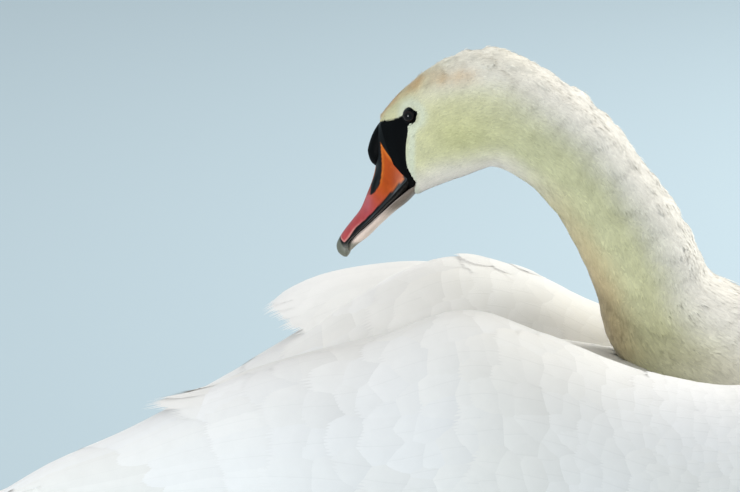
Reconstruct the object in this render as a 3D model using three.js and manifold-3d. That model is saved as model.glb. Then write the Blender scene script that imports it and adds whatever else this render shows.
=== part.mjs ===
// A mute swan at rest on its belly, life size, as a still museum model. Its neck is folded back between
// the half-raised wings and the head looks back over the body, bill down. Millimetres, +Z up, +X towards
// the breast, -Y the bird's right side. The origin is the middle of the flat under the belly.
import * as THREE from "three";
import { mergeVertices } from "three/addons/utils/BufferGeometryUtils.js";
import Module from "manifold-3d";

const wasm = await Module();
wasm.setup();

// ---------------------------------------------------------------- driving sizes
const GAP = 0.3; // clearance between neighbouring solids
const FLOOR = 0; // level of the belly's flat and of the soles
const WORK_SPAN = 2000; // larger than the bird, for the block that trims at the floor

const NECK_PLANE_SIDE = 15; // where the plane of the neck crosses X = 0
const NECK_PLANE_SLOPE = 0.07; // its side shift for each millimetre towards the tail
const HEAD_TURN_START = -100; // X where the head begins to turn away from the right side
const HEAD_TURN_LENGTH = 45; // over which the turn grows
const HEAD_TURN_SLOPE = 0.4; // tangent of the head's turn

const EYE = { x: -170, side: 19.5, z: 441.5, radius: 7.2 };
const KNOB = { x: -200.5, z: 406.5, along: 9.5, side: 9.5, up: 13.5 };

// ---------------------------------------------------------------- materials
function finish(color, roughness, metalness = 0) {
  return new THREE.MeshStandardMaterial({ color, roughness, metalness });
}

const PLUMAGE = finish(0xf2f1ec, 0.85);
const NECK_DOWN = finish(0xe6e0c2, 0.9);
const BILL_ORANGE = finish(0xd2601c, 0.4);
const BILL_PALE = finish(0xc9a79c, 0.5);
const BLACK_SKIN = finish(0x141414, 0.55);
const EYE_GLOSS = finish(0x120c0a, 0.08);
const FOOT_SKIN = finish(0x25262a, 0.7);

// ---------------------------------------------------------------- curves
// Catmull-Rom value of a table's rows at t, counted in rows.
function rowAt(rows, t) {
  const last = rows.length - 1;
  const i = Math.min(Math.floor(t), last - 1);
  const f = t - i;
  const pick = (k) => rows[Math.min(Math.max(k, 0), last)];
  const [a, b, c, d] = [pick(i - 1), pick(i), pick(i + 1), pick(i + 2)];
  return b.map(
    (_, n) =>
      0.5 *
      (2 * b[n] +
        (c[n] - a[n]) * f +
        (2 * a[n] - 5 * b[n] + 4 * c[n] - d[n]) * f * f +
        (3 * b[n] - a[n] - 3 * c[n] + d[n]) * f ** 3),
  );
}

// Rows of a table from t0 to t1, with `steps` rows for each row of the table.
function sampled(rows, steps, t0 = 0, t1 = rows.length - 1) {
  const count = Math.max(2, Math.round((t1 - t0) * steps));
  return Array.from({ length: count + 1 }, (_, i) =>
    rowAt(rows, t0 + ((t1 - t0) * i) / count),
  );
}

const power = (v, e) => Math.sign(v) * Math.abs(v) ** e;

// Where a point of the neck, head or bill lies: x and z in the bird's upright middle plane, w to its side.
function onNeckPlane(x, w, z) {
  const past = HEAD_TURN_START - x;
  const q = Math.min(Math.max(past / HEAD_TURN_LENGTH, 0), 1);
  const extra = HEAD_TURN_SLOPE - NECK_PLANE_SLOPE;
  const slope = NECK_PLANE_SLOPE + extra * q;
  const turned =
    (q * q * HEAD_TURN_LENGTH) / 2 + Math.max(past - HEAD_TURN_LENGTH, 0);
  const middle = NECK_PLANE_SIDE - NECK_PLANE_SLOPE * x + extra * turned;
  const unit = Math.hypot(1, slope);
  return new THREE.Vector3(x + (w * slope) / unit, middle + w / unit, z);
}

// ---------------------------------------------------------------- solids
function solidOf(geometry) {
  const bare = geometry.clone();
  for (const name of Object.keys(bare.attributes))
    if (name !== "position") bare.deleteAttribute(name);
  const merged = mergeVertices(bare, 1e-3);
  const make = (triVerts) =>
    new wasm.Manifold(
      new wasm.Mesh({
        numProp: 3,
        vertProperties: merged.attributes.position.array,
        triVerts,
      }),
    );
  const solid = make(new Uint32Array(merged.index.array));
  if (solid.volume() > 0) return solid;
  return make(new Uint32Array(merged.index.array).reverse());
}

// A closed skin over rings of points, each ring with the same number of points.
function loft(rings) {
  const sides = rings[0].length;
  const points = rings.flat();
  const index = [];
  for (let r = 0; r + 1 < rings.length; r++)
    for (let s = 0; s < sides; s++) {
      const [a, b] = [r * sides + s, r * sides + ((s + 1) % sides)];
      index.push(a, b, b + sides, a, b + sides, a + sides);
    }
  for (const [ring, first] of [
    [rings[0], 0],
    [rings.at(-1), (rings.length - 1) * sides],
  ]) {
    const middle = ring
      .reduce((sum, p) => sum.add(p), new THREE.Vector3())
      .divideScalar(sides);
    points.push(middle);
    for (let s = 0; s < sides; s++) {
      const edge = [first + s, first + ((s + 1) % sides)];
      if (first === 0) edge.reverse();
      index.push(points.length - 1, ...edge);
    }
  }
  const geometry = new THREE.BufferGeometry().setFromPoints(points);
  return solidOf(geometry.setIndex(index));
}

function angles(sides) {
  return Array.from({ length: sides }, (_, i) => (i / sides) * 2 * Math.PI);
}

// Rings whose ends are two points of the middle plane: rows of [ax, az, bx, bz, half width, narrowing at a].
function pairedLoft(rows, sides, grow, roundness = 2) {
  return loft(
    rows.map(([ax, az, bx, bz, width, narrow]) => {
      const [dx, dz] = [(ax - bx) / 2, (az - bz) / 2];
      const half = Math.hypot(dx, dz);
      const reach = (half + grow) / half;
      return angles(sides).map((angle) => {
        const up = power(Math.cos(angle), 2 / roundness);
        const out = power(Math.sin(angle), 2 / roundness);
        const x = (ax + bx) / 2 + dx * reach * up;
        const z = (az + bz) / 2 + dz * reach * up;
        return onNeckPlane(x, (width + grow) * out * (1 - narrow * up), z);
      });
    }),
  );
}

// Rings square to X: rows of [x, side, bottom, top, half width, lean]. The lean is in degrees and brings the
// top towards the midline.
function crossLoft(rows, sides, grow, roundness, hand = 1) {
  return loft(
    rows.map(([x, side, bottom, top, width, lean]) => {
      const tilt = THREE.MathUtils.degToRad(lean);
      const [rise, middle] = [(top - bottom) / 2 + grow, (top + bottom) / 2];
      return angles(sides).map((angle) => {
        const up = rise * power(Math.cos(angle), 2 / roundness);
        const out = (width + grow) * power(Math.sin(angle), 2 / roundness);
        const y = side + out * Math.cos(tilt) - up * Math.sin(tilt);
        const z = middle + out * Math.sin(tilt) + up * Math.cos(tilt);
        return new THREE.Vector3(x, hand * y, z);
      });
    }),
  );
}

function ball(center, radii, segments = 18) {
  const geometry = new THREE.SphereGeometry(1, segments, segments * 0.7);
  geometry.scale(...radii);
  geometry.translate(center.x, center.y, center.z);
  return solidOf(geometry);
}

function aboveFloor(solid) {
  const block = new THREE.BoxGeometry(WORK_SPAN, WORK_SPAN, WORK_SPAN);
  block.translate(0, 0, FLOOR - WORK_SPAN / 2);
  return solid.subtract(solidOf(block));
}

function carve(solid, ...neighbours) {
  return neighbours.reduce((left, n) => left.subtract(n), solid);
}

// The largest piece of a solid, without the slivers that a cut can leave.
function mainPiece(solid) {
  return solid.decompose().sort((a, b) => b.volume() - a.volume())[0];
}

const swan = new THREE.Group();

function addNode(name, solid, material) {
  const { vertProperties, triVerts, numProp } = mainPiece(solid).getMesh();
  const at = new Float32Array((vertProperties.length / numProp) * 3);
  for (let i = 0; i < at.length / 3; i++)
    for (let k = 0; k < 3; k++) at[i * 3 + k] = vertProperties[i * numProp + k];
  const geometry = new THREE.BufferGeometry();
  geometry.setAttribute("position", new THREE.BufferAttribute(at, 3));
  geometry.setIndex([...triVerts]);
  const mesh = new THREE.Mesh(geometry, material);
  mesh.name = name;
  swan.add(mesh);
}

// ---------------------------------------------------------------- trunk
// x, side, bottom, top, half width, lean
const TRUNK = [
  [296, 0, 118, 164, 22, 0],
  [286, 0, 84, 192, 54, 0],
  [262, 0, 48, 214, 88, 0],
  [225, 0, 20, 226, 115, 0],
  [170, 0, 1, 232, 134, 0],
  [105, 0, -7, 234, 144, 0],
  [40, 0, -9, 236, 148, 0],
  [-30, 0, -8, 250, 148, 0],
  [-100, 0, -4, 262, 143, 0],
  [-170, 0, 2, 260, 130, 0],
  [-235, 0, 18, 244, 112, 0],
  [-290, 0, 42, 220, 88, 0],
  [-335, 0, 70, 194, 66, 0],
  [-375, 0, 96, 170, 45, 0],
  [-400, 0, 112, 156, 28, 0],
];
const trunkForm = (grow) => crossLoft(sampled(TRUNK, 1.5), 24, grow, 2.25);

// ---------------------------------------------------------------- neck and head
// x and z of the nape side, x and z of the throat side, half width, narrowing towards the crown
const NECK = [
  [268, 200, 138, 96, 90, 0],
  [241, 234, 118, 118, 80, 0],
  [197, 262, 98, 140, 70, 0],
  [149, 281, 80, 160, 61, 0],
  [110, 292, 62, 180, 55, 0],
  [84, 300, 44, 196, 51, 0],
  [68, 308, 22, 209, 49, 0],
  [60, 313, 0, 227, 47, 0],
  [56, 318, -16, 248, 46, 0],
  [53, 326, -25, 270, 45, 0],
  [46, 341, -32, 298, 43.5, 0],
  [31, 367, -44, 326, 42, 0],
  [10, 396, -57, 351, 41, 0],
  [-14, 428, -74, 375, 40, 0],
  [-38, 452, -91, 389, 39, 0],
  [-61, 469, -103, 396, 38.5, 0],
  [-85, 484, -113, 399, 37.5, 0],
  [-108, 493, -122, 396, 36, 0.02],
  [-131, 491, -133, 391, 34.5, 0.05],
  [-150, 484, -147, 385, 32.5, 0.08],
  [-165, 474, -157, 380, 30, 0.1],
  [-179, 461, -165, 376, 27, 0.11],
  [-190, 449, -170, 373, 23.5, 0.12],
  [-198, 438, -174, 374, 19, 0.12],
];
const NECK_CUTS = { base: 3.5, middle: 9.5, upper: 13.5, head: 17 };
const CUT_HALF = 0.012; // half of a cut, in rows of the table

function neckForm(from, to, grow = 0) {
  return pairedLoft(sampled(NECK, 1.5, from, to), 20, grow);
}
const between = (a, b) => neckForm(a + CUT_HALF, b - CUT_HALF);

// ---------------------------------------------------------------- bill
const BILL_UPPER = [
  [-198.5, 434, -162, 391, 18.5, 0.1],
  [-202, 424, -167, 387.5, 18, 0.12],
  [-203, 414, -171.5, 383.5, 17.5, 0.15],
  [-203.5, 404, -176, 378.5, 17, 0.2],
  [-203.5, 394, -181, 373, 16.5, 0.24],
  [-206, 382.5, -187, 367, 16, 0.26],
  [-210, 371, -194, 359.5, 15.5, 0.24],
  [-215, 358, -202, 351.5, 15, 0.2],
  [-221, 349, -209.5, 344, 14.5, 0.15],
  [-227, 340.5, -217, 336.5, 13.5, 0.1],
  [-231.5, 333, -222, 330.5, 11.5, 0.05],
  [-234, 326.5, -224, 325, 8.5, 0],
  [-233, 320.5, -224.5, 320, 5.5, 0],
  [-229.5, 317, -226, 317, 2, 0],
];
const BILL_LOWER = [
  [-163, 390, -168, 378, 14, 0],
  [-170, 384, -174, 372, 15, 0],
  [-177, 378, -180, 365, 14.5, 0],
  [-187, 369, -190.5, 355.5, 13.5, 0],
  [-197, 359, -201, 344.5, 13, 0],
  [-207, 349, -210, 334.5, 12.5, 0],
  [-215.5, 340.5, -217.5, 328, 10.5, 0],
  [-221, 333, -221, 324.5, 6, 0],
];
const upperForm = (grow) => pairedLoft(sampled(BILL_UPPER, 1), 16, grow, 2.2);
const lowerForm = (grow) => pairedLoft(sampled(BILL_LOWER, 1), 14, grow, 2.2);
const knobForm = (grow) =>
  ball(
    onNeckPlane(KNOB.x, 0, KNOB.z),
    [KNOB.along + grow, KNOB.side + grow, KNOB.up + grow],
    12,
  );

function eyeForm(hand, grow) {
  const r = EYE.radius + grow;
  return ball(onNeckPlane(EYE.x, hand * EYE.side, EYE.z), [r, r, r], 12);
}

// ---------------------------------------------------------------- wings
// Folded wings, square to X: x, side, bottom, top, half width, lean. The left one is lifted a little more over
// the back and lower at its tip.
const WING_FRONT = [
  [218, 106, 150, 182, 12, 0],
  [204, 108, 122, 208, 30, 4],
  [170, 110, 100, 232, 44, 8],
  [115, 108, 92, 250, 52, 10],
  [50, 106, 90, 250, 56, 12],
  [-15, 103, 90, 265, 60, 13],
];
const WING_REAR = {
  right: [
    [-80, 99, 92, 290, 62, 14],
    [-145, 95, 98, 310, 61, 14],
    [-215, 88, 104, 286, 55, 14],
    [-280, 80, 116, 270, 47, 13],
    [-345, 70, 128, 245, 36, 12],
    [-410, 58, 133, 210, 24, 10],
    [-465, 47, 133, 184, 15, 8],
    [-515, 38, 129, 153, 8, 5],
    [-548, 33, 125, 137, 3, 0],
  ],
  left: [
    [-80, 99, 92, 298, 62, 14],
    [-145, 95, 98, 312, 61, 14],
    [-215, 88, 104, 284, 55, 14],
    [-280, 76, 112, 245, 46, 13],
    [-345, 61, 121, 210, 35, 12],
    [-410, 47, 124, 178, 24, 10],
    [-465, 38, 123, 153, 15, 8],
    [-515, 31, 118, 135, 8, 5],
    [-542, 28, 115, 126, 3, 0],
  ],
};
const WING_PARTS = ["shoulder", "arm", "primaries"];
const WING_CUTS = [4.5, 9]; // rows of the table at which the parts meet
const HANDS = { right: -1, left: 1 };

const wingTable = (name) => [...WING_FRONT, ...WING_REAR[name]];

function wingForm(name, from, to, grow = 0) {
  const rows = sampled(wingTable(name), 1.5, from, to);
  return crossLoft(rows, 18, grow, 2.1, HANDS[name]);
}

// Long inner flight feathers whose tips stand free of the back. Rows along the blade: x, side, z, half width,
// lean.
const TERTIAL_THICKNESS = 6;
const TERTIALS = {
  right: [
    [-150, 90, 297, 20, -20],
    [-200, 88, 282, 29, -22],
    [-250, 84, 267, 31, -22],
    [-300, 78, 252, 26, -20],
    [-345, 71, 237, 13, -18],
    [-357, 69, 233, 4, -18],
  ],
  left: [
    [-120, 86, 295, 16, 30],
    [-165, 86, 294, 24, 34],
    [-205, 84, 288, 27, 36],
    [-245, 80, 279, 26, 38],
    [-277, 74, 269, 17, 38],
    [-294, 70, 262, 6, 38],
  ],
};

function tertialForm(name, grow = 0) {
  const rows = TERTIALS[name].map(([x, side, z, width, lean]) => [
    x,
    side,
    z - TERTIAL_THICKNESS / 2,
    z + TERTIAL_THICKNESS / 2,
    width,
    lean,
  ]);
  return crossLoft(sampled(rows, 1.5), 12, grow, 2.4, HANDS[name]);
}

// ---------------------------------------------------------------- tail
const TAIL = [
  [-335, 0, 126, 154, 52, 0],
  [-390, 0, 118, 142, 58, 0],
  [-450, 0, 111, 129, 56, 0],
  [-505, 0, 106, 118, 46, 0],
  [-550, 0, 102, 110, 30, 0],
  [-580, 0, 100, 105, 12, 0],
  [-590, 0, 100, 103, 3, 0],
];
const tailForm = (grow) => crossLoft(sampled(TAIL, 1.5), 16, grow, 2.2);

// ---------------------------------------------------------------- tucked legs
// Shank from the heel forward to the toes, and a folded web flat on the floor.
const SHANK = [
  [-268, 66, 33, 45, 4, 0],
  [-262, 66, 24, 50, 9, 0],
  [-240, 67, 14, 44, 11, 0],
  [-200, 69, 4, 30, 9.5, 0],
  [-165, 70, -3, 22, 10, 0],
];
const WEB = [
  [-176, 70, -4, 17, 9, 0],
  [-150, 71, -5, 17, 19, 0],
  [-110, 73, -5, 13, 30, 0],
  [-70, 75, -5, 10, 37, 0],
  [-48, 76, -5, 7, 34, 0],
  [-40, 76, -4, 4, 26, 0],
];

function footForm(name, grow) {
  const part = (rows) =>
    crossLoft(sampled(rows, 1.5), 10, grow, 2.4, HANDS[name]);
  return aboveFloor(part(SHANK).add(part(WEB)));
}

// ---------------------------------------------------------------- the bird
const lastRow = NECK.length - 1;
const trunkRoom = trunkForm(GAP);
const neckRoom = neckForm(0, lastRow, GAP);
const knobRoom = knobForm(GAP);
const billRoom = upperForm(GAP).add(lowerForm(GAP));

const neckParts = [
  ["neck_base", 0, NECK_CUTS.base],
  ["neck_bend", NECK_CUTS.base, NECK_CUTS.middle],
  ["neck_middle", NECK_CUTS.middle, NECK_CUTS.upper],
  ["neck_upper", NECK_CUTS.upper, NECK_CUTS.head],
];
for (const [name, from, to] of neckParts)
  addNode(name, carve(between(from, to), trunkRoom), NECK_DOWN);

const eyeRooms = Object.values(HANDS).map((hand) => eyeForm(hand, GAP));
addNode(
  "head",
  carve(between(NECK_CUTS.head, lastRow), knobRoom, billRoom, ...eyeRooms),
  NECK_DOWN,
);
for (const [name, hand] of Object.entries(HANDS))
  addNode(`eye_${name}`, eyeForm(hand, 0), EYE_GLOSS);
addNode("bill_knob", knobForm(0), BLACK_SKIN);
addNode("bill_upper", carve(upperForm(0), knobRoom), BILL_ORANGE);
addNode("bill_lower", carve(lowerForm(0), upperForm(GAP)), BILL_PALE);

const sideNames = Object.keys(HANDS);
const footRooms = sideNames.map((name) => footForm(name, GAP));
addNode("trunk", aboveFloor(carve(trunkForm(0), ...footRooms)), PLUMAGE);
for (const name of sideNames)
  addNode(`foot_${name}`, footForm(name, 0), FOOT_SKIN);

const wingRooms = [];
for (const name of sideNames) {
  const end = wingTable(name).length - 1;
  const cuts = [0, ...WING_CUTS, end];
  const tertialRoom = tertialForm(name, GAP);
  for (const [i, part] of WING_PARTS.entries())
    addNode(
      `wing_${name}_${part}`,
      carve(
        wingForm(name, cuts[i] + CUT_HALF, cuts[i + 1] - CUT_HALF),
        trunkRoom,
        neckRoom,
        tertialRoom,
      ),
      PLUMAGE,
    );
  addNode(`tertials_${name}`, tertialForm(name), PLUMAGE);
  wingRooms.push(wingForm(name, 0, end, GAP));
}
addNode("tail", carve(tailForm(0), trunkRoom, ...wingRooms), PLUMAGE);

export default swan;
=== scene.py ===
"""A mute swan at rest on its belly, life size, its neck folded back between half-raised wings.

Laid out as an add-on whose operators each make one group of pieces round the solids of the frame. Shapes
are worked out in millimetres in the bird's own frame (+X towards the breast, -Y its right side, +Z up) and
made in metres.
"""

import math
from typing import NamedTuple

import bpy
import numpy as np
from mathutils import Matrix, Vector
from mathutils.bvhtree import BVHTree
from mathutils.kdtree import KDTree


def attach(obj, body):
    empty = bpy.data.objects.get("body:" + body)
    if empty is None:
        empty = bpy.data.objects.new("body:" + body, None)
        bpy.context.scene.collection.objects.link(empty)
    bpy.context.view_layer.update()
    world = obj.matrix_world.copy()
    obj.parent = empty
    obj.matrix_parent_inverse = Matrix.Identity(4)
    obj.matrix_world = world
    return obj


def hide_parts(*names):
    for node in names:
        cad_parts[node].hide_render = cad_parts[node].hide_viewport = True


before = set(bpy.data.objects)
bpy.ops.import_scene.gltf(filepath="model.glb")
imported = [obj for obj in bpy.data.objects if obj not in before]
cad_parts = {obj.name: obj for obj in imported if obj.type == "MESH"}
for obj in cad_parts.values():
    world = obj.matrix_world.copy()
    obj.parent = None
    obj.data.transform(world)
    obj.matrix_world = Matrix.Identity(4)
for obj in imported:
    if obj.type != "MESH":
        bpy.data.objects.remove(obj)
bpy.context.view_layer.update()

bl_info = {
    "name": "Mute swan model",
    "version": (1, 0, 0),
    "blender": (4, 5, 0),
    "location": "3D View > Sidebar > Swan",
    "description": "Makes the skin, feathers, bill, eyes and feet of a life-size swan",
    "category": "Object",
}

MM = 0.001
TAU = 2 * math.pi
BODY = "root"
HANDS = {"right": -1, "left": 1}

# ------------------------------------------------------------------ form of the bird, in millimetres
# Trunk and tail, square to X and alike on both sides: x, bottom, top, half width.
TRUNK = [
    (296, 118, 164, 22), (286, 84, 192, 54), (262, 48, 214, 88), (225, 20, 226, 115), (170, 1, 232, 134),
    (105, -7, 234, 144), (40, -9, 236, 148), (-30, -8, 250, 148), (-100, -4, 262, 143),
    (-170, 2, 260, 130), (-235, 18, 244, 112), (-290, 42, 220, 88), (-335, 70, 194, 66),
    (-375, 96, 170, 45), (-400, 112, 156, 28),
]
TAIL = [
    (-335, 126, 154, 52), (-390, 118, 142, 58), (-450, 111, 129, 56), (-505, 106, 118, 46),
    (-550, 102, 110, 30), (-580, 100, 105, 12), (-590, 100, 103, 3),
]
# Wings, square to X: x, side, bottom, top, half width, lean in degrees.
WING_FRONT = [
    (218, 106, 150, 182, 12, 0), (204, 108, 122, 208, 30, 4), (170, 110, 100, 232, 44, 8),
    (115, 108, 92, 250, 52, 10), (50, 106, 90, 250, 56, 12), (-15, 103, 90, 265, 60, 13),
]
WING_REAR = {
    "right": [
        (-80, 99, 92, 290, 62, 14), (-145, 95, 98, 310, 61, 14), (-215, 88, 104, 286, 55, 14),
        (-280, 80, 116, 270, 47, 13), (-345, 70, 128, 245, 36, 12), (-410, 58, 133, 210, 24, 10),
        (-465, 47, 133, 184, 15, 8), (-515, 38, 129, 153, 8, 5), (-548, 33, 125, 137, 3, 0),
    ],
    "left": [
        (-80, 99, 92, 298, 62, 14), (-145, 95, 98, 312, 61, 14), (-215, 88, 104, 284, 55, 14),
        (-280, 76, 112, 245, 46, 13), (-345, 61, 121, 210, 35, 12), (-410, 47, 124, 178, 24, 10),
        (-465, 38, 123, 153, 15, 8), (-515, 31, 118, 135, 8, 5), (-542, 28, 115, 126, 3, 0),
    ],
}
# Free inner flight feathers, along the group: x, side, z, half width, lean in degrees.
TERTIALS = {
    "right": [
        (-150, 90, 297, 20, -20), (-200, 88, 282, 29, -22), (-250, 84, 267, 31, -22),
        (-300, 78, 252, 26, -20), (-345, 71, 237, 13, -18), (-357, 69, 233, 4, -18),
        (-395, 62, 221, 4, -18),
    ],
    "left": [
        (-120, 86, 295, 16, 30), (-165, 86, 294, 24, 34), (-205, 84, 288, 27, 36),
        (-245, 80, 279, 26, 38), (-277, 74, 269, 17, 38), (-294, 70, 262, 6, 38),
    ],
}
# Neck and head in their upright plane, and both halves of the bill: x and z on the nape or culmen side,
# x and z on the throat side, half width, narrowing towards the crown.
NECK = [
    (268, 200, 138, 96, 90, 0), (241, 234, 118, 118, 80, 0), (197, 262, 98, 140, 70, 0),
    (149, 281, 80, 160, 61, 0), (110, 292, 62, 180, 55, 0), (84, 300, 44, 196, 51, 0),
    (68, 308, 22, 209, 49, 0), (60, 313, 0, 227, 47, 0), (56, 318, -16, 248, 46, 0),
    (53, 326, -25, 270, 45, 0), (46, 341, -32, 298, 43.5, 0), (31, 367, -44, 326, 42, 0),
    (10, 396, -57, 351, 41, 0), (-14, 428, -74, 375, 40, 0), (-38, 452, -91, 389, 39, 0),
    (-61, 469, -103, 396, 38.5, 0), (-85, 484, -113, 399, 37.5, 0), (-108, 493, -122, 396, 36, 0.02),
    (-131, 491, -133, 391, 34.5, 0.05), (-150, 484, -147, 385, 32.5, 0.08),
    (-165, 474, -157, 380, 30, 0.1), (-179, 461, -165, 376, 27, 0.11),
    (-190, 449, -170, 373, 23.5, 0.12), (-198, 438, -174, 374, 19, 0.12),
]
BILL_UPPER = [
    (-193, 440, -157, 396, 18.5, 0.1), (-198.5, 434, -162, 391, 18.5, 0.1),
    (-202, 424, -167, 387.5, 18, 0.12), (-203, 414, -171.5, 383.5, 17.5, 0.15),
    (-203.5, 404, -176, 378.5, 17, 0.2), (-203.5, 394, -181, 373, 16.5, 0.24),
    (-206, 382.5, -187, 367, 16, 0.26), (-210, 371, -194, 359.5, 15.5, 0.24),
    (-215, 358, -202, 351.5, 15, 0.2), (-221, 349, -209.5, 344, 14.5, 0.15),
    (-227, 340.5, -217, 336.5, 13.5, 0.1), (-231.5, 333, -222, 330.5, 11.5, 0.05),
    (-234, 326.5, -224, 325, 8.5, 0), (-233, 320.5, -224.5, 320, 5.5, 0), (-229.5, 317, -226, 317, 2, 0),
]
BILL_LOWER = [
    (-158, 393, -161, 383, 13, 0), (-163, 389, -168, 378, 14, 0), (-170, 383, -174, 372, 14.4, 0),
    (-177, 377, -180, 365, 14, 0), (-187, 367.5, -190.5, 355.5, 13.2, 0),
    (-197, 357.5, -201, 344.5, 12.6, 0), (-207, 347.5, -210, 334.5, 12, 0),
    (-215.5, 339.5, -217.5, 328, 10, 0), (-221, 332.5, -221, 324.5, 6.5, 0),
    (-225, 328.5, -224, 321.5, 3, 0),
]
NECK_PLANE_SIDE = 15  # side of the neck's middle plane where x is 0
NECK_PLANE_SLOPE = 0.07  # how fast that side grows towards the tail
HEAD_TURN_START = -100  # x where the head starts to turn out of the neck's plane
HEAD_TURN_LENGTH = 45
HEAD_TURN_SLOPE = 0.4  # slope of the head's own plane
HEAD_ROW = 17  # row of the table where the neck's feathers give way to the head's
FACE_X = -150  # the black skin lies ahead of this x
FLOOR_CLEARANCE = 0.4  # lowest that a feather reaches
EYE = {"x": -171.0, "side": 18.9, "z": 440.6, "radius": 7.0}
EYE_CORNER = 2.6  # direction of the eye's rear corner, as an angle from straight ahead
LID_EDGE = (6.3, 6.6)  # half length and half height of the lid's outer edge
LID_OPENING = (4.9, 4.3)  # and those of its opening
CUTTING_EDGE = [
    (-226, 327), (-212.5, 341), (-203.5, 350), (-195.5, 359), (-185.7, 369.5), (-176, 379.5), (-166, 389),
]
NOSTRIL = {"x": -200.6, "z": 381, "length": 6.0, "width": 1.9, "depth": 1.6}
KNOB = {"x": -200.5, "z": 406, "along": 9.3, "side": 9.5, "down": 13, "up": 27, "slope": 0.2}

# Edges of the black skin, of the coloured shield, of a strip along the culmen and of the nail, seen from the
# side: x and z.
BLACK_FACE = [
    (-206, 440), (-199, 430.3), (-194, 432.4), (-187.9, 434.9), (-183.3, 436.4), (-179.8, 438.7),
    (-176, 441), (-170, 441), (-173.1, 433.1), (-172.6, 428.4), (-173.9, 417.9), (-174.1, 407.5),
    (-173.7, 399.9), (-171.2, 392.6), (-168, 385.3), (-176, 368), (-240, 310), (-240, 420),
]
SHIELD = [
    (-197.1, 415), (-194.6, 411.8), (-192.5, 409.5), (-188, 404.1), (-182.6, 400.8), (-177.2, 395.5),
    (-176.2, 391.8), (-177.1, 388.4), (-180.8, 383.9), (-189.8, 373.6), (-198.7, 362.5), (-207.8, 352.2),
    (-215.1, 344.9), (-222.4, 333.8), (-225, 331.5), (-228.2, 333.3), (-240, 345), (-240, 372),
    (-204.3, 371.5), (-200.3, 375.2), (-197.1, 381.2), (-195.8, 388.9), (-195.3, 397.4), (-195.8, 405),
]
CULMEN_SLIVER = [(-205.5, 372), (-206, 379.4), (-203.1, 387.3), (-202.2, 394), (-215, 394), (-215, 366)]
NAIL = [(-240, 345), (-233, 337), (-228.5, 331.5), (-226, 327), (-218, 322), (-218, 305), (-245, 305)]


def rows_at(rows, t):
    """Catmull-Rom values of a table's rows at places t, counted in rows, straight beyond its ends."""
    rows = np.asarray(rows, float)
    last = len(rows) - 1
    inside = np.clip(t, 0, last)
    i = np.minimum(np.floor(inside).astype(int), last - 1)
    f = (inside - i)[..., None]
    a, b, c, d = (rows[np.clip(i + k, 0, last)] for k in (-1, 0, 1, 2))
    curve = 2 * b + (c - a) * f + (2 * a - 5 * b + 4 * c - d) * f**2 + (3 * b - a - 3 * c + d) * f**3
    past = (t - inside)[..., None]
    return 0.5 * curve + past * np.where(past > 0, rows[last] - rows[last - 1], rows[1] - rows[0])


def power(value, exponent):
    """A power of the size of value, with its sign kept."""
    return np.sign(value) * np.abs(value) ** exponent


def smooth(low, high, value):
    """0 below low, 1 above high and an even step between."""
    f = np.clip((value - low) / (high - low), 0, 1)
    return f * f * (3 - 2 * f)


def hump(value, centre, size):
    """1 where value is at the centre, falling softly to 0 over a few sizes."""
    return np.exp(-(((value - centre) / size) ** 2))


def spot(x, z, centre, size):
    """1 at a centre, falling softly to 0 all round it."""
    return np.exp(-(((x - centre[0]) / size[0]) ** 2) - ((z - centre[1]) / size[1]) ** 2)


def neck_middle(x):
    """Side of the neck's middle plane at x, and the plane's slope there."""
    past = HEAD_TURN_START - x
    q = np.clip(past / HEAD_TURN_LENGTH, 0, 1)
    extra = HEAD_TURN_SLOPE - NECK_PLANE_SLOPE
    turned = q * q * HEAD_TURN_LENGTH / 2 + np.maximum(past - HEAD_TURN_LENGTH, 0)
    return NECK_PLANE_SIDE - NECK_PLANE_SLOPE * x + extra * turned, NECK_PLANE_SLOPE + extra * q


def on_neck_plane(x, w, z):
    """Where a point of the neck, head or bill lies: x and z in the middle plane, w to its side."""
    middle, slope = neck_middle(x)
    unit = np.hypot(1, slope)
    return np.stack(np.broadcast_arrays(x + w * slope / unit, middle + w / unit, z), -1)


def off_neck_plane(points):
    """x, w and z of points, the other way round."""
    x = points[..., 0].copy()
    for _ in range(8):
        middle, slope = neck_middle(x)
        unit = np.hypot(1, slope)
        w = (points[..., 1] - middle) * unit
        x = points[..., 0] - w * slope / unit
    return x, w, points[..., 2]


class Form:
    """A lofted surface of the bird, with a point for each place t along it and each angle round it."""

    def __init__(self, rows, lie=1):
        self.rows = np.asarray(rows, float)
        self.last = len(rows) - 1
        self.lie = lie  # which way along the rows the feathers point

    def columns(self, t, *others):
        """The table's columns at rows t, after t and the others spread to one shape."""
        t, *others = np.broadcast_arrays(t, *others)
        return t, *others, *np.moveaxis(rows_at(self.rows, t), -1, 0)

    def steps(self, t, angle):
        """Millimetres for one row and for one radian at a place, and the outward direction there."""
        small = 0.02
        along = (self.at(t + small, angle) - self.at(t - small, angle)) / (2 * small)
        around = (self.at(t, angle + small) - self.at(t, angle - small)) / (2 * small)
        normal = np.cross(along, around)
        normal /= np.linalg.norm(normal, axis=-1, keepdims=True) + 1e-9
        out = self.at(t, angle, 1.0) - self.at(t, angle, -1.0)
        normal *= np.sign((normal * out).sum(-1, keepdims=True))
        return np.linalg.norm(along, axis=-1), np.linalg.norm(around, axis=-1), normal

    def walk(self, t, angle, distance):
        """The places that lie `distance` from t along lines of one angle: one row of distances per line."""
        grid = np.linspace(-1, self.last + 1, 161)
        lines = self.at(grid[None, :], angle[:, None])
        length = np.linalg.norm(np.diff(lines, axis=1), axis=2).cumsum(1)
        length = np.concatenate([np.zeros((len(t), 1)), length], 1)
        found = np.empty_like(distance)
        for k, reached in enumerate(length):
            start = np.interp(t[k], grid, reached)
            found[k] = np.interp(start + self.lie * distance[k], reached, grid)
        return found


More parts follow.
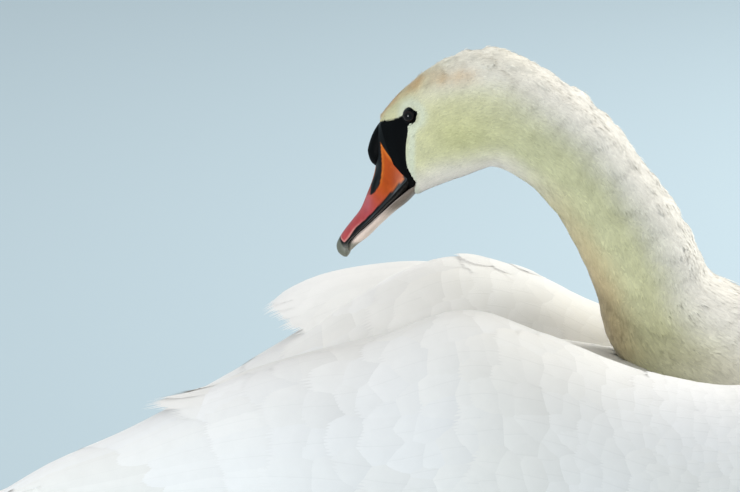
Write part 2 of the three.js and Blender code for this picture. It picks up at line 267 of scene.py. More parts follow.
class PairedForm(Form):
    """Rings whose two ends lie in the neck's middle plane."""

    def __init__(self, rows, lie=-1, roundness=2.0, shoulder=0.0):
        super().__init__(rows, lie)
        self.roundness = roundness
        self.shoulder = shoulder  # height of the widest place, from -1 at the second end to 1 at the first

    def at(self, t, angle, raised=0.0):
        t, angle, raised, ax, az, bx, bz, width, narrow = self.columns(t, angle, raised)
        dx, dz = (ax - bx) / 2, (az - bz) / 2
        reach = 1 + raised / np.maximum(np.hypot(dx, dz), 1e-6)
        up = power(np.cos(angle), 2 / self.roundness)
        out = power(np.sin(angle), 2 / self.roundness)
        rise = self.shoulder + (1 - self.shoulder * np.sign(up)) * up
        x = (ax + bx) / 2 + dx * reach * rise
        z = (az + bz) / 2 + dz * reach * rise
        return on_neck_plane(x, (width + raised) * out * (1 - narrow * rise), z)


class CrossForm(Form):
    """Rings square to X."""

    def __init__(self, rows, roundness, hand=1):
        super().__init__(rows)
        self.roundness = roundness
        self.hand = hand

    def at(self, t, angle, raised=0.0):
        t, angle, raised, x, side, bottom, top, width, lean = self.columns(t, angle, raised)
        front = self.rows[0][0]
        x = np.where(t < 0, front + 0.4 * (x - front), x)  # blunt before the first row
        tilt = np.radians(lean)
        rise = np.maximum((top - bottom) / 2 + raised, 0.3)
        up = rise * power(np.cos(angle), 2 / self.roundness)
        out = np.maximum(width + raised, 0.3) * power(np.sin(angle), 2 / self.roundness)
        y = side + out * np.cos(tilt) - up * np.sin(tilt)
        z = (top + bottom) / 2 + out * np.sin(tilt) + up * np.cos(tilt)
        return np.stack([x, self.hand * y, z], -1)


class SheetForm(Form):
    """A curved sheet under a group of long feathers. The angle is millimetres across it."""

    def __init__(self, rows, hand=1, crown=0.0):
        super().__init__(rows)
        self.hand = hand
        self.crown = crown  # how far its edges fall, as a share of the half width

    def at(self, t, across, raised=0.0):
        t, across, raised, x, side, z, width, lean = self.columns(t, across, raised)
        tilt = np.radians(lean)
        up = raised - self.crown * across**2 / np.maximum(np.abs(width), 12)
        y = side + across * np.cos(tilt) - up * np.sin(tilt)
        return np.stack([x, self.hand * y, z + across * np.sin(tilt) + up * np.cos(tilt)], -1)


TRUNK_FORM = CrossForm([(x, 0, low, top, width, 0) for x, low, top, width in TRUNK], 2.25)
NECK_FORM = PairedForm(NECK)
WING_FORMS = {name: CrossForm(WING_FRONT + WING_REAR[name], 2.1, hand) for name, hand in HANDS.items()}
TERTIAL_FORMS = {name: SheetForm(TERTIALS[name], hand, 0.25) for name, hand in HANDS.items()}
TAIL_FORM = SheetForm([(x, 0, (low + top) / 2, width, 0) for x, low, top, width in TAIL], 1, 0.12)
BILL_FORM = PairedForm(BILL_UPPER, roundness=2.3, shoulder=-0.7)
JAW_FORM = PairedForm(BILL_LOWER, roundness=2.3, shoulder=0.8)


def coat_depth(t):
    """Depth of the neck's and head's feathers over the skin at rows t of the neck, in millimetres."""
    return np.interp(t, [0, 4, 12, 17, 20, 22, 23], [6, 4.6, 4.2, 3.6, 2.2, 1.5, 1.2])


BODY_DEPTH = 4.5  # and of the trunk's feathers
WING_DEPTH = 4.0


def outline_distance(x, z, outline):
    """Distance of points from a closed outline, above 0 inside it."""
    corners = np.asarray(outline, float)
    x, z = np.asarray(x, float), np.asarray(z, float)
    nearest = np.full(x.shape, 1e9)
    inside = np.zeros(x.shape, bool)
    for (ax, az), (bx, bz) in zip(corners, np.roll(corners, -1, 0)):
        dx, dz = bx - ax, bz - az
        along = np.clip(((x - ax) * dx + (z - az) * dz) / (dx**2 + dz**2), 0, 1)
        nearest = np.minimum(nearest, np.hypot(x - ax - along * dx, z - az - along * dz))
        inside ^= ((az > z) != (bz > z)) & (x < ax + (z - az) * dx / (dz if dz else 1e-9))
    return np.where(inside, nearest, -nearest)


def waves(points, size, seed):
    """Soft random ripples over points, about -1 to 1, with bumps about `size` millimetres apart."""
    rng = np.random.default_rng(seed)
    total = np.zeros(points.shape[:-1])
    for _ in range(7):
        direction = rng.normal(size=3)
        direction *= TAU / (size * rng.uniform(1.2, 2.6) * np.linalg.norm(direction))
        total += np.sin(points @ direction + rng.uniform(0, TAU))
    return total / 3.2


# ------------------------------------------------------------------ colours
# Small markings, as colours on a screen. The main colours are settings of the add-on.
WARM_WHITE = (0.96, 0.945, 0.90)
# White of the throat: partly the feathers' own white, partly painted light thrown up onto the underside.
THROAT_WHITE_AND_BOUNCE_LIGHT = (0.99, 0.965, 0.93)
# Olive of the cheek: painted shade, tinted green as by reflected light.
CHEEK_SHADE_OLIVE = (0.78, 0.78, 0.54)
EYE_RING = (0.90, 0.93, 0.85)
# Of the two oranges, the paler one is painted light on the top of the shield.
DEEP_ORANGE, ORANGE_TOP_LIGHT = (0.62, 0.24, 0.04), (0.88, 0.50, 0.17)
# Of the two roses, the paler one is a painted highlight along the shield's lower edge towards the tip.
DEEP_ROSE, ROSE_HIGHLIGHT = (0.70, 0.40, 0.45), (0.90, 0.66, 0.62)
# Grey of a painted highlight along the ridge of the cutting edge.
RIDGE_HIGHLIGHT_GREY = (0.34, 0.38, 0.40)
NAIL_TIP, NAIL_RIM = (0.62, 0.63, 0.60), (0.16, 0.16, 0.14)
JAW_BASE, JAW_EDGE, JAW_TIP = (0.40, 0.36, 0.32), (0.42, 0.40, 0.40), (0.50, 0.50, 0.45)
IRIS, PUPIL, EYE_RIM = (0.10, 0.06, 0.045), (0.01, 0.01, 0.01), (0.02, 0.018, 0.018)


def linear(colour):
    """Scene linear values of a colour written as on a screen."""
    c = np.asarray(colour, float)
    return np.where(c <= 0.04045, c / 12.92, ((c + 0.055) / 1.055) ** 2.4)


def mixed(colours, other, amount):
    """Rows of colours mixed with another colour by an amount for each row."""
    return colours + (np.asarray(other) - colours) * np.clip(amount, 0, 1)[..., None]


def layered(ground, points, *layers):
    """A colour for each point: the ground, then each layer's colour over it by its amount."""
    colours = np.broadcast_to(linear(ground), (*points.shape[:-1], 3))
    for colour, amount in layers:
        colours = mixed(colours, linear(colour), amount)
    return colours


def neck_colours(t, angle, style):
    """Colour of the down on the neck and head at rows t and angles from the nape."""
    points = NECK_FORM.at(t, angle)
    x, w, z = off_neck_plane(points)
    rise = np.cos(angle)
    # The top of the neck stays white: partly the feathers' own white, partly painted light where light falls
    # on the top.
    nape = smooth(-0.1, 0.75, rise)
    throat = smooth(-0.35, -0.95, rise)
    head = smooth(HEAD_ROW - 2.5, HEAD_ROW + 1.5, t)
    crown = smooth(0.2, 0.7, rise) * smooth(21.5, 18, t)
    stain = smooth(7, 9, t) * smooth(15, 10, t) * smooth(-0.3, -0.9, rise)
    forehead = smooth(19.0, 21.5, t) * smooth(0.8, 0.98, rise)
    band = hump(z, np.interp(x, [-185, -155, -128], [455, 470, 475]), 6)
    band = band * smooth(-188, -176, x) * smooth(-118, -138, x) * (rise > 0)
    rust = np.clip(forehead + 0.8 * band, 0, 1) * (0.8 + 0.3 * waves(points, 9, 5))
    ring = hump(np.hypot(x - EYE["x"], z - EYE["z"]), 9, 4) * (np.abs(w) > 8)
    lore = smooth(5, 1, np.abs(x + 171 + 0.05 * (400 - z))) * smooth(436, 425, z)
    colours = layered(
        style.neck_white, points,
        (style.body_white, smooth(3.5, 0.5, t)),
        # Cream over the neck's sides and front: partly the feathers' own stain, partly painted shade, deeper
        # and greener where shade falls beside the nape.
        (style.neck_cream_and_shade, (1 - nape) * smooth(2.5, 8.5, t)),
        (style.head_cream, head * (1 - 0.85 * crown)),
        # Underside of the neck painted paler: partly its own white, partly painted reflected light from
        # below.
        (THROAT_WHITE_AND_BOUNCE_LIGHT, 0.95 * throat * smooth(12, 17, t)),
        (style.stain, 0.45 * stain),
        (style.rust, 0.75 * rust),
        # Painted shade on the cheek, olive green.
        (CHEEK_SHADE_OLIVE, 0.55 * spot(x, z, (-136, 428), (24, 20))),
        (EYE_RING, 0.7 * np.clip(ring + lore, 0, 1)),
    )
    return colours * (1 + 0.03 * waves(points, 7, 3))[..., None]


def body_colours(points, style):
    """Colour of the white plumage, a little warmer in soft patches."""
    return layered(style.body_white, points, (WARM_WHITE, 0.35 * (0.5 + 0.5 * waves(points, 60, 11))))


# ------------------------------------------------------------------ mesh making
def new_mesh(name, points, faces):
    """An evenly shaded mesh from points in millimetres and arrays of faces, three or four corners each."""
    mesh = bpy.data.meshes.new(name)
    faces = [np.asarray(f, int).reshape(-1, np.shape(f)[-1]) for f in faces]
    corners = np.concatenate([f.ravel() for f in faces])
    totals = np.concatenate([np.full(len(f), f.shape[1]) for f in faces])
    mesh.vertices.add(len(points))
    mesh.vertices.foreach_set("co", (np.asarray(points) * MM).astype(np.float32).ravel())
    mesh.loops.add(len(corners))
    mesh.loops.foreach_set("vertex_index", corners.astype(np.int32))
    mesh.polygons.add(len(totals))
    mesh.polygons.foreach_set("loop_start", np.concatenate([[0], totals.cumsum()[:-1]]).astype(np.int32))
    mesh.polygons.foreach_set("loop_total", totals.astype(np.int32))
    mesh.update(calc_edges=True)
    mesh.validate()
    mesh.polygons.foreach_set("use_smooth", np.full(len(mesh.polygons), True))
    return mesh


def paint(mesh, colours):
    """Gives the mesh its markings, one colour per vertex."""
    layer = mesh.color_attributes.new("Markings", "FLOAT_COLOR", "POINT")
    layer.data.foreach_set("color", np.c_[colours, np.ones(len(colours))].astype(np.float32).ravel())


def measure(mesh, name, values):
    """Stores a number per vertex, which a material reads by name."""
    mesh.attributes.new(name, "FLOAT", "POINT").data.foreach_set("value", np.asarray(values, np.float32))


def bake_map(mesh, uv):
    """The map the colours are baked through, from a place per vertex."""
    corners = np.empty(len(mesh.loops), np.int32)
    mesh.loops.foreach_get("vertex_index", corners)
    layer = mesh.uv_layers.new(name="OFBake")
    layer.uv.foreach_set("vector", uv[corners].astype(np.float32).ravel())


def add_piece(name, mesh, material, slot, *nodes):
    """Links a piece that rides on the bird and stands for some of the frame's nodes."""
    piece = bpy.data.objects.new(name, mesh)
    bpy.context.scene.collection.objects.link(piece)
    mesh.materials.append(material)
    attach(piece, BODY)
    if nodes:
        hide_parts(*nodes)
    return piece


def shaped_piece(name, points, faces, material, slot, *nodes, colours=None):
    """A piece made from points and faces, with its markings where it has any."""
    mesh = new_mesh(name, points, faces)
    if colours is not None:
        paint(mesh, colours)
    return add_piece(name, mesh, material, slot, *nodes)


def ring_mesh_faces(rings, sides, closed_ends=True):
    """Quads between rings, and where the ends are closed, their triangles round a middle point each."""
    r, s = np.meshgrid(np.arange(rings - 1), np.arange(sides), indexing="ij")
    a, b = r * sides + s, r * sides + (s + 1) % sides
    quads = np.stack([a, b, b + sides, a + sides], -1).reshape(-1, 4)
    if not closed_ends:
        return [quads]
    first, last = np.arange(sides), (rings - 1) * sides + np.arange(sides)
    near = np.stack([np.roll(first, -1), first, np.full(sides, rings * sides)], -1)
    far = np.stack([last, np.roll(last, -1), np.full(sides, rings * sides + 1)], -1)
    return [quads, near, far]


def loft(form, rows, sides, raised=0.0):
    """Points and faces of a closed loft over a form, with `raised` a number or one for each row."""
    t = np.linspace(0, form.last, rows)
    angle = np.linspace(0, TAU, sides, endpoint=False)
    raised = np.broadcast_to(raised, (rows,))
    points = form.at(t[:, None], angle[None, :], raised[:, None])
    ends = points[[0, -1]].mean(1)
    return np.concatenate([points.reshape(-1, 3), ends]), ring_mesh_faces(rows, sides)


def joined(parts):
    """Points and faces of several parts as one."""
    start, all_points, all_faces = 0, [], []
    for points, faces in parts:
        all_points.append(points)
        all_faces += [f + start for f in faces]
        start += len(points)
    return np.concatenate(all_points), all_faces


def places_of(mesh):
    """Places of a mesh's vertices, in millimetres."""
    points = np.empty(len(mesh.vertices) * 3, np.float32)
    mesh.vertices.foreach_get("co", points)
    return points.reshape(-1, 3).astype(float) / MM


# ------------------------------------------------------------------ feathers
def feather_shape(columns, rows, tooth, widest, root=0.35):
    """A flat feather: u from 0 to 1 along it, v from -1 to 1 across, which points are barb tips, and faces.

    Its end is half an ellipse that starts at `widest`, its barbs stand free over the share `tooth` of its
    length, and `root` is the share of its width that it has at the root.
    """
    v_line = np.linspace(-1, 1, columns + 1)
    middles = (v_line[1:] + v_line[:-1]) / 2
    end = lambda v, length: widest + (length - widest) * np.sqrt(1 - v**2)
    share, v = np.meshgrid(np.linspace(0, 1, rows), v_line, indexing="ij")
    web_u = share * end(v, 1 - tooth)
    web_v = v * (root + (1 - root) * smooth(0, widest * 0.8, web_u))
    k = columns + 1
    r, c = np.meshgrid(np.arange(rows - 1), np.arange(columns), indexing="ij")
    first = r * k + c
    quads = np.stack([first, first + 1, first + k + 1, first + k], -1).reshape(-1, 4)
    edge = (rows - 1) * k + np.arange(columns)
    tips = np.stack([edge, edge + 1, rows * k + np.arange(columns)], -1)
    us, vs = np.r_[web_u.ravel(), end(middles, 1)], np.r_[web_v.ravel(), middles * 0.99]
    return us, vs, np.r_[np.zeros(rows * k), np.ones(columns)], [quads, tips]


def lock_shape():
    """A thin pointed lock of down."""
    u = np.array([0, 0, 0.5, 0.5, 1.0])
    v = np.array([-0.6, 0.6, -1, 1, 0])
    return u, v, (u == 1) * 1.0, [np.array([[0, 1, 3, 2]]), np.array([[2, 3, 4]])]


def lay_feathers(form, shape, t, angle, length, width, low, high, rng, turn, ragged, camber, settle=2.2,
                 walked=False, bank=0.0, curl=0.0, splay=0.0, dip=0.35):
    """Lays one feather at each place of a form. Returns points, outward directions, u, v and faces.

    low and high are the heights over the form at root and tip, turn how far each strays from the lie and
    ragged how unevenly the barbs end. camber is how far the edges fall, settle how early a feather comes to
    lie flat, bank how far one edge lies over the other, curl how far the end rises, splay how far loose
    barbs stand out and dip how far the end bends down onto what it lies on. Long feathers are walked, so
    that they keep their length where the form's rows lie unevenly.
    """
    u, v, tips, faces = shape
    n = len(t)
    full = lambda value: np.broadcast_to(np.asarray(value, float), (n,))[:, None]
    us = u[None, :] + tips[None, :] * rng.uniform(-ragged, ragged * 0.6, (n, len(u)))
    yaw = turn[:, None]
    side = v * full(width) / 2
    along = us * full(length) * np.cos(yaw) - side * np.sin(yaw)
    across = us * full(length) * np.sin(yaw) + side * np.cos(yaw)
    row_step, turn_step, _ = form.steps(t, angle)
    places = form.walk(t, angle, along) if walked else t[:, None] + form.lie * along / row_step[:, None]
    angles = angle[:, None] + across / turn_step[:, None]
    raised = full(low) + (full(high) - full(low)) * (1 - (1 - np.clip(us, 0, 1)) ** settle)
    raised = raised - camber * full(width) * v**2 * 0.5 + full(bank) * v * np.clip(us * 2, 0, 1)
    raised = raised - dip * np.clip((us - 0.7) / 0.3, 0, 1) ** 2
    raised = raised + full(curl) * np.clip(us * 2 - 1, 0, 1) ** 1.6
    raised = raised + splay * tips[None, :] * rng.uniform(-0.2, 1, (n, len(u)))
    points = form.at(places, angles, raised)
    _, _, normals = form.steps(places, angles)
    starts = (np.arange(n) * len(u))[:, None, None]
    all_faces = [(starts + f[None]).reshape(-1, f.shape[1]) for f in faces]
    return points.reshape(-1, 3), normals.reshape(-1, 3), us.ravel(), np.tile(v, n), all_faces


def outwards(points, normals, faces):
    """Faces turned so that each looks the way its corners' directions point."""
    a, b, c = (points[faces[:, k]] for k in range(3))
    inwards = (np.cross(b - a, c - a) * normals[faces[:, 0]]).sum(1) < 0
    return np.where(inwards[:, None], faces[:, ::-1], faces)


def coat_piece(name, laid, colours, places, material, slot, softness, lengths, widths, *nodes, patch=0.003,
               corners=None, root_shade=0.1):
    """Makes a coat piece from what lay_feathers gives, with a colour and a map place for each feather.

    softness is how far the feathers are shaded as the form under them, patch how large each is on the map,
    corners how many points each has where that differs, and fade how much darker their roots are painted, as
    painted shade under the feathers that lie over them.
    """
    points, normals, u, v, faces = laid
    k = len(points) // len(colours) if corners is None else corners
    points[:, 2] = np.maximum(points[:, 2], FLOOR_CLEARANCE)
    mesh = new_mesh(name, points, [outwards(points, normals, f) for f in faces])
    # Painted shade: each feather's root is painted darker than its end, where the feathers over it would
    # shade it.
    paint(mesh, np.repeat(colours, k, 0) * (1 - root_shade * np.clip(1 - u, 0, 1))[:, None])
    measure(mesh, "Along", u * np.repeat(np.broadcast_to(lengths, len(colours)), k))
    measure(mesh, "Across", v * np.repeat(np.broadcast_to(widths, len(colours)), k) / 2)
    centre = np.repeat(0.01 + 0.98 * places, k, 0)
    bake_map(mesh, centre + patch * np.c_[u - 0.5, v / 2])
    own = np.empty(len(points) * 3, np.float32)
    mesh.vertex_normals.foreach_get("vector", own)
    own = own.reshape(-1, 3)
    own *= np.sign((own * normals).sum(1, keepdims=True)) + 1e-6
    blend = own * (1 - softness) + normals * softness
    blend /= np.linalg.norm(blend, axis=1, keepdims=True) + 1e-9
    mesh.normals_split_custom_set_from_vertices(blend.tolist())
    return add_piece(name, mesh, material, slot, *nodes)


def unwrapped(t, angle, low, high):
    """Places on an unwrap of a form's rows from low to high, from 0 to 1 each way."""
    return np.c_[np.clip((t - low) / (high - low), 0, 1), (angle / TAU + 0.5) % 1.0]


class Buried:
    """Tells which places of a form lie deep inside the skin of the whole bird."""

    def __init__(self, skin):
        self.tree = BVHTree.FromPolygons(
            [v.co.copy() for v in skin.data.vertices], [list(p.vertices) for p in skin.data.polygons]
        )

    def height(self, points):
        """Height of points over the skin, in millimetres."""
        heights = np.empty(len(points))
        for k, point in enumerate((points * MM).tolist()):
            place, normal, _, _ = self.tree.find_nearest(Vector(point))
            heights[k] = (Vector(point) - place).dot(normal) / MM
        return heights


def scattered(form, t0, t1, count, rng):
    """Random places spread evenly over the form's area between two rows."""
    t = rng.uniform(t0, t1, count * 6)
    angle = rng.uniform(-math.pi, math.pi, count * 6)
    row_step, turn_step, _ = form.steps(t, angle)
    area = row_step * turn_step
    keep = rng.uniform(0, 1, len(t)) < area / np.quantile(area, 0.995)
    return t[keep][:count], angle[keep][:count]


def shingled(form, t0, t1, angle0, angle1, spacing, across, rng, slant, stray=0.35):
    """Places in staggered rows, like tiles, with spacing and width that may change along the form.

    slant is how far the rows move along for each radian from the top, and stray how far a place leaves its
    row, as a share of the spacing.
    """
    ts, angles = [], []
    t, row, middle = t0, 0, (angle0 + angle1) / 2
    span = np.linspace(angle0, angle1, 41)
    while t < t1:
        row_step, turn_step, _ = form.steps(np.full(41, t), span)
        reach = np.concatenate([[0], (turn_step[1:] + turn_step[:-1]).cumsum() / 2 * (span[1] - span[0])])
        n = max(2, int(round(reach[-1] / across(t))))
        at = (np.arange(n) + 0.5 * (row % 2) + rng.uniform(-stray, stray, n)) / n * reach[-1]
        a = np.interp(at % reach[-1], reach, span)
        step = np.interp(a, span, row_step)
        ts.append(t + rng.uniform(-stray, stray, n) * spacing(t) / step + slant * np.abs(a))
        angles.append(a)
        t += spacing(t) / max(np.interp(middle, span, row_step), 1e-3)
        row += 1
    return np.concatenate(ts), np.concatenate(angles)


# ------------------------------------------------------------------ materials
def add_node(tree, kind, inputs=None, **settings):
    """Adds a node with some settings, and with inputs that are values or come from other nodes."""
    node = tree.nodes.new(kind)
    for name, value in settings.items():
        setattr(node, name, value)
    for socket, value in (inputs or {}).items():
        if isinstance(value, bpy.types.NodeSocket):
            tree.links.new(value, node.inputs[socket])
        else:
            node.inputs[socket].default_value = value
    return node


def new_group(name, inputs, outputs):
    """An empty shader group with float or colour sockets, given as name and default."""
    group = bpy.data.node_groups.new(name, "ShaderNodeTree")
    for socket, value in inputs.items():
        kind = "NodeSocketColor" if isinstance(value, tuple) else "NodeSocketFloat"
        made = group.interface.new_socket(name=socket, in_out="INPUT", socket_type=kind)
        made.default_value = value
    for socket, kind in outputs.items():
        group.interface.new_socket(name=socket, in_out="OUTPUT", socket_type=kind)
    return group, group.nodes.new("NodeGroupInput").outputs, group.nodes.new("NodeGroupOutput").inputs


def maths(tree, operation, first, second=0.0, third=0.0):
    """Output of a maths node."""
    inputs = {0: first, 1: second, 2: third}
    return add_node(tree, "ShaderNodeMath", inputs, operation=operation).outputs[0]


def scaled(tree, vector, factor):
    """A colour or direction times a factor."""
    inputs = {0: vector, "Scale": factor}
    return add_node(tree, "ShaderNodeVectorMath", inputs, operation="SCALE").outputs["Vector"]


def piece_place(tree):
    """Place on the piece, in its own frame."""
    return add_node(tree, "ShaderNodeTexCoord").outputs["Object"]


def noise(tree, scale, detail, **inputs):
    """Noise that stays in place on the piece."""
    inputs = {"Vector": piece_place(tree), "Scale": scale, "Detail": detail, **inputs}
    return add_node(tree, "ShaderNodeTexNoise", inputs).outputs["Fac"]


def stored(tree, name, output="Fac"):
    """What a mesh stores under a name."""
    return add_node(tree, "ShaderNodeAttribute", attribute_name=name).outputs[output]


def markings(tree):
    """The piece's own colours."""
    return stored(tree, "Markings", "Color")


def barbs_group():
    """Fine slanting barbs of a feather's web, as a height and a shade near 1."""
    group, given, out = new_group(
        "Feather barbs",
        {"Along": 0.0, "Across": 0.0, "Spacing": 1.0, "Slant": 0.9, "Contrast": 0.05, "Shaft": 0.6},
        {"Height": "NodeSocketFloat", "Shade": "NodeSocketFloat"},
    )
    side = maths(group, "ABSOLUTE", given["Across"])
    place = maths(group, "SUBTRACT", given["Along"], maths(group, "MULTIPLY", side, given["Slant"]))
    place = maths(group, "ADD", maths(group, "DIVIDE", place, given["Spacing"]), noise(group, 260.0, 2.0))
    wave = maths(group, "SINE", maths(group, "MULTIPLY", place, TAU))
    height = maths(group, "MULTIPLY_ADD", wave, 0.5, 0.5)
    shaft = maths(group, "SUBTRACT", 1.0, maths(group, "DIVIDE", side, given["Shaft"]))
    shaft = maths(group, "MAXIMUM", shaft, 0.0)
    shade = maths(group, "SUBTRACT", 1.0, maths(group, "MULTIPLY", height, given["Contrast"]))
    shade = maths(group, "SUBTRACT", shade, maths(group, "MULTIPLY", shaft, 0.04))
    group.links.new(maths(group, "ADD", height, shaft), out["Height"])
    group.links.new(shade, out["Shade"])
    return group


def mottle_group():
    """Uneven brightness over a colour, coarse and fine, and an uneven roughness."""
    group, given, out = new_group(
        "Mottle",
        {"Colour": (0.8, 0.8, 0.8, 1.0), "Scale": 40.0, "Amount": 0.06, "Roughness": 0.6},
        {"Colour": "NodeSocketColor", "Roughness": "NodeSocketFloat"},
    )
    uneven = maths(group, "SUBTRACT", noise(group, given["Scale"], 6.0, Roughness=0.6), 0.5)
    swing = maths(group, "MULTIPLY", uneven, given["Amount"])
    factor = maths(group, "MULTIPLY_ADD", swing, 2.0, 1.0)
    group.links.new(scaled(group, given["Colour"], factor), out["Colour"])
    group.links.new(maths(group, "ADD", given["Roughness"], swing), out["Roughness"])
    return group


def cells_group():
    """Small rounded cells of bare skin and horn, as a height."""
    inputs, outputs = {"Scale": 900.0, "Fineness": 0.5}, {"Height": "NodeSocketFloat"}
    group, given, out = new_group("Skin cells", inputs, outputs)
    inputs = {"Vector": piece_place(group), "Scale": given["Scale"]}
    cells = add_node(group, "ShaderNodeTexVoronoi", inputs).outputs["Distance"]
    fine = maths(group, "MULTIPLY", noise(group, 2200.0, 3.0), given["Fineness"])
    group.links.new(maths(group, "SUBTRACT", fine, cells), out["Height"])
    return group


def shared_group(name):
    """A shader group by name, built the first time."""
    made = {"Feather barbs": barbs_group, "Mottle": mottle_group, "Skin cells": cells_group}
    return bpy.data.node_groups.get(name) or made[name]()


def place_group(tree, name, inputs):
    """Outputs of a shared group with some inputs."""
    return add_node(tree, "ShaderNodeGroup", inputs, node_tree=shared_group(name)).outputs


def new_material(name, colour, **sockets):
    """A material with its even values set on the shader's own sockets."""
    material = bpy.data.materials.new(name)
    material.use_nodes = True
    material.diffuse_color = (*linear(colour), 1)
    shader = material.node_tree.nodes["Principled BSDF"]
    for socket, value in sockets.items():
        shader.inputs[socket.replace("_", " ")].default_value = value
    return material, material.node_tree, shader


def set_bump(tree, shader, height, strength, distance):
    """Bumps the shader's surface by a height, with the distance in millimetres."""
    inputs = {"Height": height, "Strength": strength, "Distance": distance * MM}
    tree.links.new(add_node(tree, "ShaderNodeBump", inputs).outputs["Normal"], shader.inputs["Normal"])


def set_colour(tree, shader, colour, scale, amount, roughness):
    """Feeds a colour, mottled, and an uneven roughness to the shader."""
    inputs = {"Colour": colour, "Scale": scale, "Amount": amount, "Roughness": roughness}
    mottle = place_group(tree, "Mottle", inputs)
    tree.links.new(mottle["Colour"], shader.inputs["Base Color"])
    tree.links.new(mottle["Roughness"], shader.inputs["Roughness"])


def set_cells(tree, shader, cells, fineness, strength, distance):
    """Bumps the surface by small cells, with their number to a metre given."""
    height = place_group(tree, "Skin cells", {"Scale": cells, "Fineness": fineness})["Height"]
    set_bump(tree, shader, height, strength, distance)


def mix_surface(tree, share, other):
    """Mixes a share of another shader into the surface."""
    surface = tree.nodes["Material Output"].inputs["Surface"]
    inputs = {0: share, 1: surface.links[0].from_socket, 2: other}
    tree.links.new(add_node(tree, "ShaderNodeMixShader", inputs).outputs[0], surface)


def let_light_through(tree, shader, share):
    """Lets a share of the light through, as thin feathers do."""
    colour = shader.inputs["Base Color"].links[0].from_socket
    mix_surface(tree, share, add_node(tree, "ShaderNodeBsdfTranslucent", {"Color": colour}).outputs[0])


def soften_shadows(tree, share):
    """Lets a share of the lamps' light pass, so that feathers throw soft shadows on one another."""
    passing = maths(tree, "MULTIPLY", add_node(tree, "ShaderNodeLightPath").outputs["Is Shadow Ray"], share)
    mix_surface(tree, passing, add_node(tree, "ShaderNodeBsdfTransparent").outputs[0])


def shade_both_faces(tree, shader):
    """Shades the backs of thin feather ends like their fronts."""
    back = add_node(tree, "ShaderNodeNewGeometry").outputs["Backfacing"]
    turn = maths(tree, "MULTIPLY_ADD", back, -2.0, 1.0)
    normal = shader.inputs["Normal"]
    tree.links.new(scaled(tree, normal.links[0].from_socket, turn), normal)


def feather_material(name, white, spacing, strength, contrast, sheen, light_through=0.05):
    """Feathers whose barbs show as fine slanting lines on each web, with their spacing in millimetres."""
    material, tree, shader = new_material(
        name, white, Sheen_Weight=sheen, Sheen_Roughness=0.45, Specular_IOR_Level=0.25
    )
    inputs = {"Along": stored(tree, "Along"), "Across": stored(tree, "Across")}
    barbs = place_group(tree, "Feather barbs", {**inputs, "Spacing": spacing, "Contrast": contrast})
    colour = scaled(tree, markings(tree), barbs["Shade"])
    set_colour(tree, shader, colour, scale=70.0, amount=0.04, roughness=0.72)
    set_bump(tree, shader, barbs["Height"], strength, 0.25)
    shade_both_faces(tree, shader)
    let_light_through(tree, shader, light_through)
    soften_shadows(tree, 0.5)
    return material


def skin_material(name, colour):
    """Down close to the skin, seen only between feathers."""
    material, tree, shader = new_material(name, colour, Sheen_Weight=0.2)
    set_colour(tree, shader, markings(tree), scale=300.0, amount=0.1, roughness=0.85)
    set_bump(tree, shader, noise(tree, 600.0, 4.0), 0.6, 0.8)
    return material


def horn_material(name, colour, roughness):
    """Horn of the bill: satin, faintly streaked, with fine cells."""
    material, tree, shader = new_material(
        name, colour, Coat_Weight=0.04, Coat_Roughness=0.2, Specular_IOR_Level=0.14
    )
    set_colour(tree, shader, markings(tree), scale=160.0, amount=0.1, roughness=roughness)
    set_cells(tree, shader, cells=700.0, fineness=0.6, strength=0.25, distance=0.15)
    return material


def bare_skin_material(name, colour, roughness, cells, strength):
    """Bare skin with small scales or pores."""
    material, tree, shader = new_material(name, colour, Specular_IOR_Level=0.04)
    set_colour(tree, shader, (*linear(colour), 1), scale=220.0, amount=0.18, roughness=roughness)
    set_cells(tree, shader, cells, fineness=0.3, strength=strength, distance=0.3)
    return material


def eye_material():
    """Wet eye under a thin clear coat."""
    material, tree, shader = new_material(
        "eye_wet", (0.08, 0.05, 0.04), Coat_Weight=0.25, Coat_Roughness=0.02, Specular_IOR_Level=0.1
    )
    set_colour(tree, shader, markings(tree), scale=900.0, amount=0.3, roughness=0.12)
    return material


# ------------------------------------------------------------------ settings
def colour_setting(name, description, value):
    """A colour as on a screen."""
    return bpy.props.FloatVectorProperty(
        name=name, description=description, subtype="COLOR_GAMMA", size=3, min=0, max=1, default=value
    )


def length_setting(name, description, value, low):
    """A length in metres."""
    return bpy.props.FloatProperty(
        name=name, description=description, unit="LENGTH", subtype="DISTANCE", default=value, min=low,
        precision=4,
    )


def turn_setting(name, description, degrees):
    """An angle."""
    return bpy.props.FloatProperty(
        name=name, description=description, subtype="ANGLE", default=math.radians(degrees)
    )


def count_setting(name, description, value):
    """How many of something."""
    return bpy.props.IntProperty(name=name, description=description, default=value, min=100, max=65000)


class PlumageSettings(bpy.types.PropertyGroup):
    """Skin, down and colours of the plumage"""

    skin_voxel: length_setting("Skin grain", "Cell size that the skin is made at", 0.0035, 0.0015)
    neck_locks: count_setting("Neck locks", "Locks of down on each third of the neck", 52000)
    head_locks: count_setting("Head locks", "Locks of down on the head", 60000)
    body_white: colour_setting("Body", "White of the body and wings", (0.985, 0.988, 0.985))
    neck_white: colour_setting("Nape", "White of the nape and the neck's base", (0.985, 0.972, 0.93))
    # The neck's cream is partly the feathers' own stain and partly painted shade on the neck's sides.
    neck_cream_and_shade: colour_setting("Neck", "Cream of the neck's sides", (0.83, 0.83, 0.67))
    head_cream: colour_setting("Head", "Cream of the head's sides", (0.885, 0.88, 0.71))
    rust: colour_setting("Crown stain", "Iron stain on forehead and crown", (0.85, 0.71, 0.50))
    stain: colour_setting("Throat stain", "Stain on the front of the neck", (0.84, 0.68, 0.50))


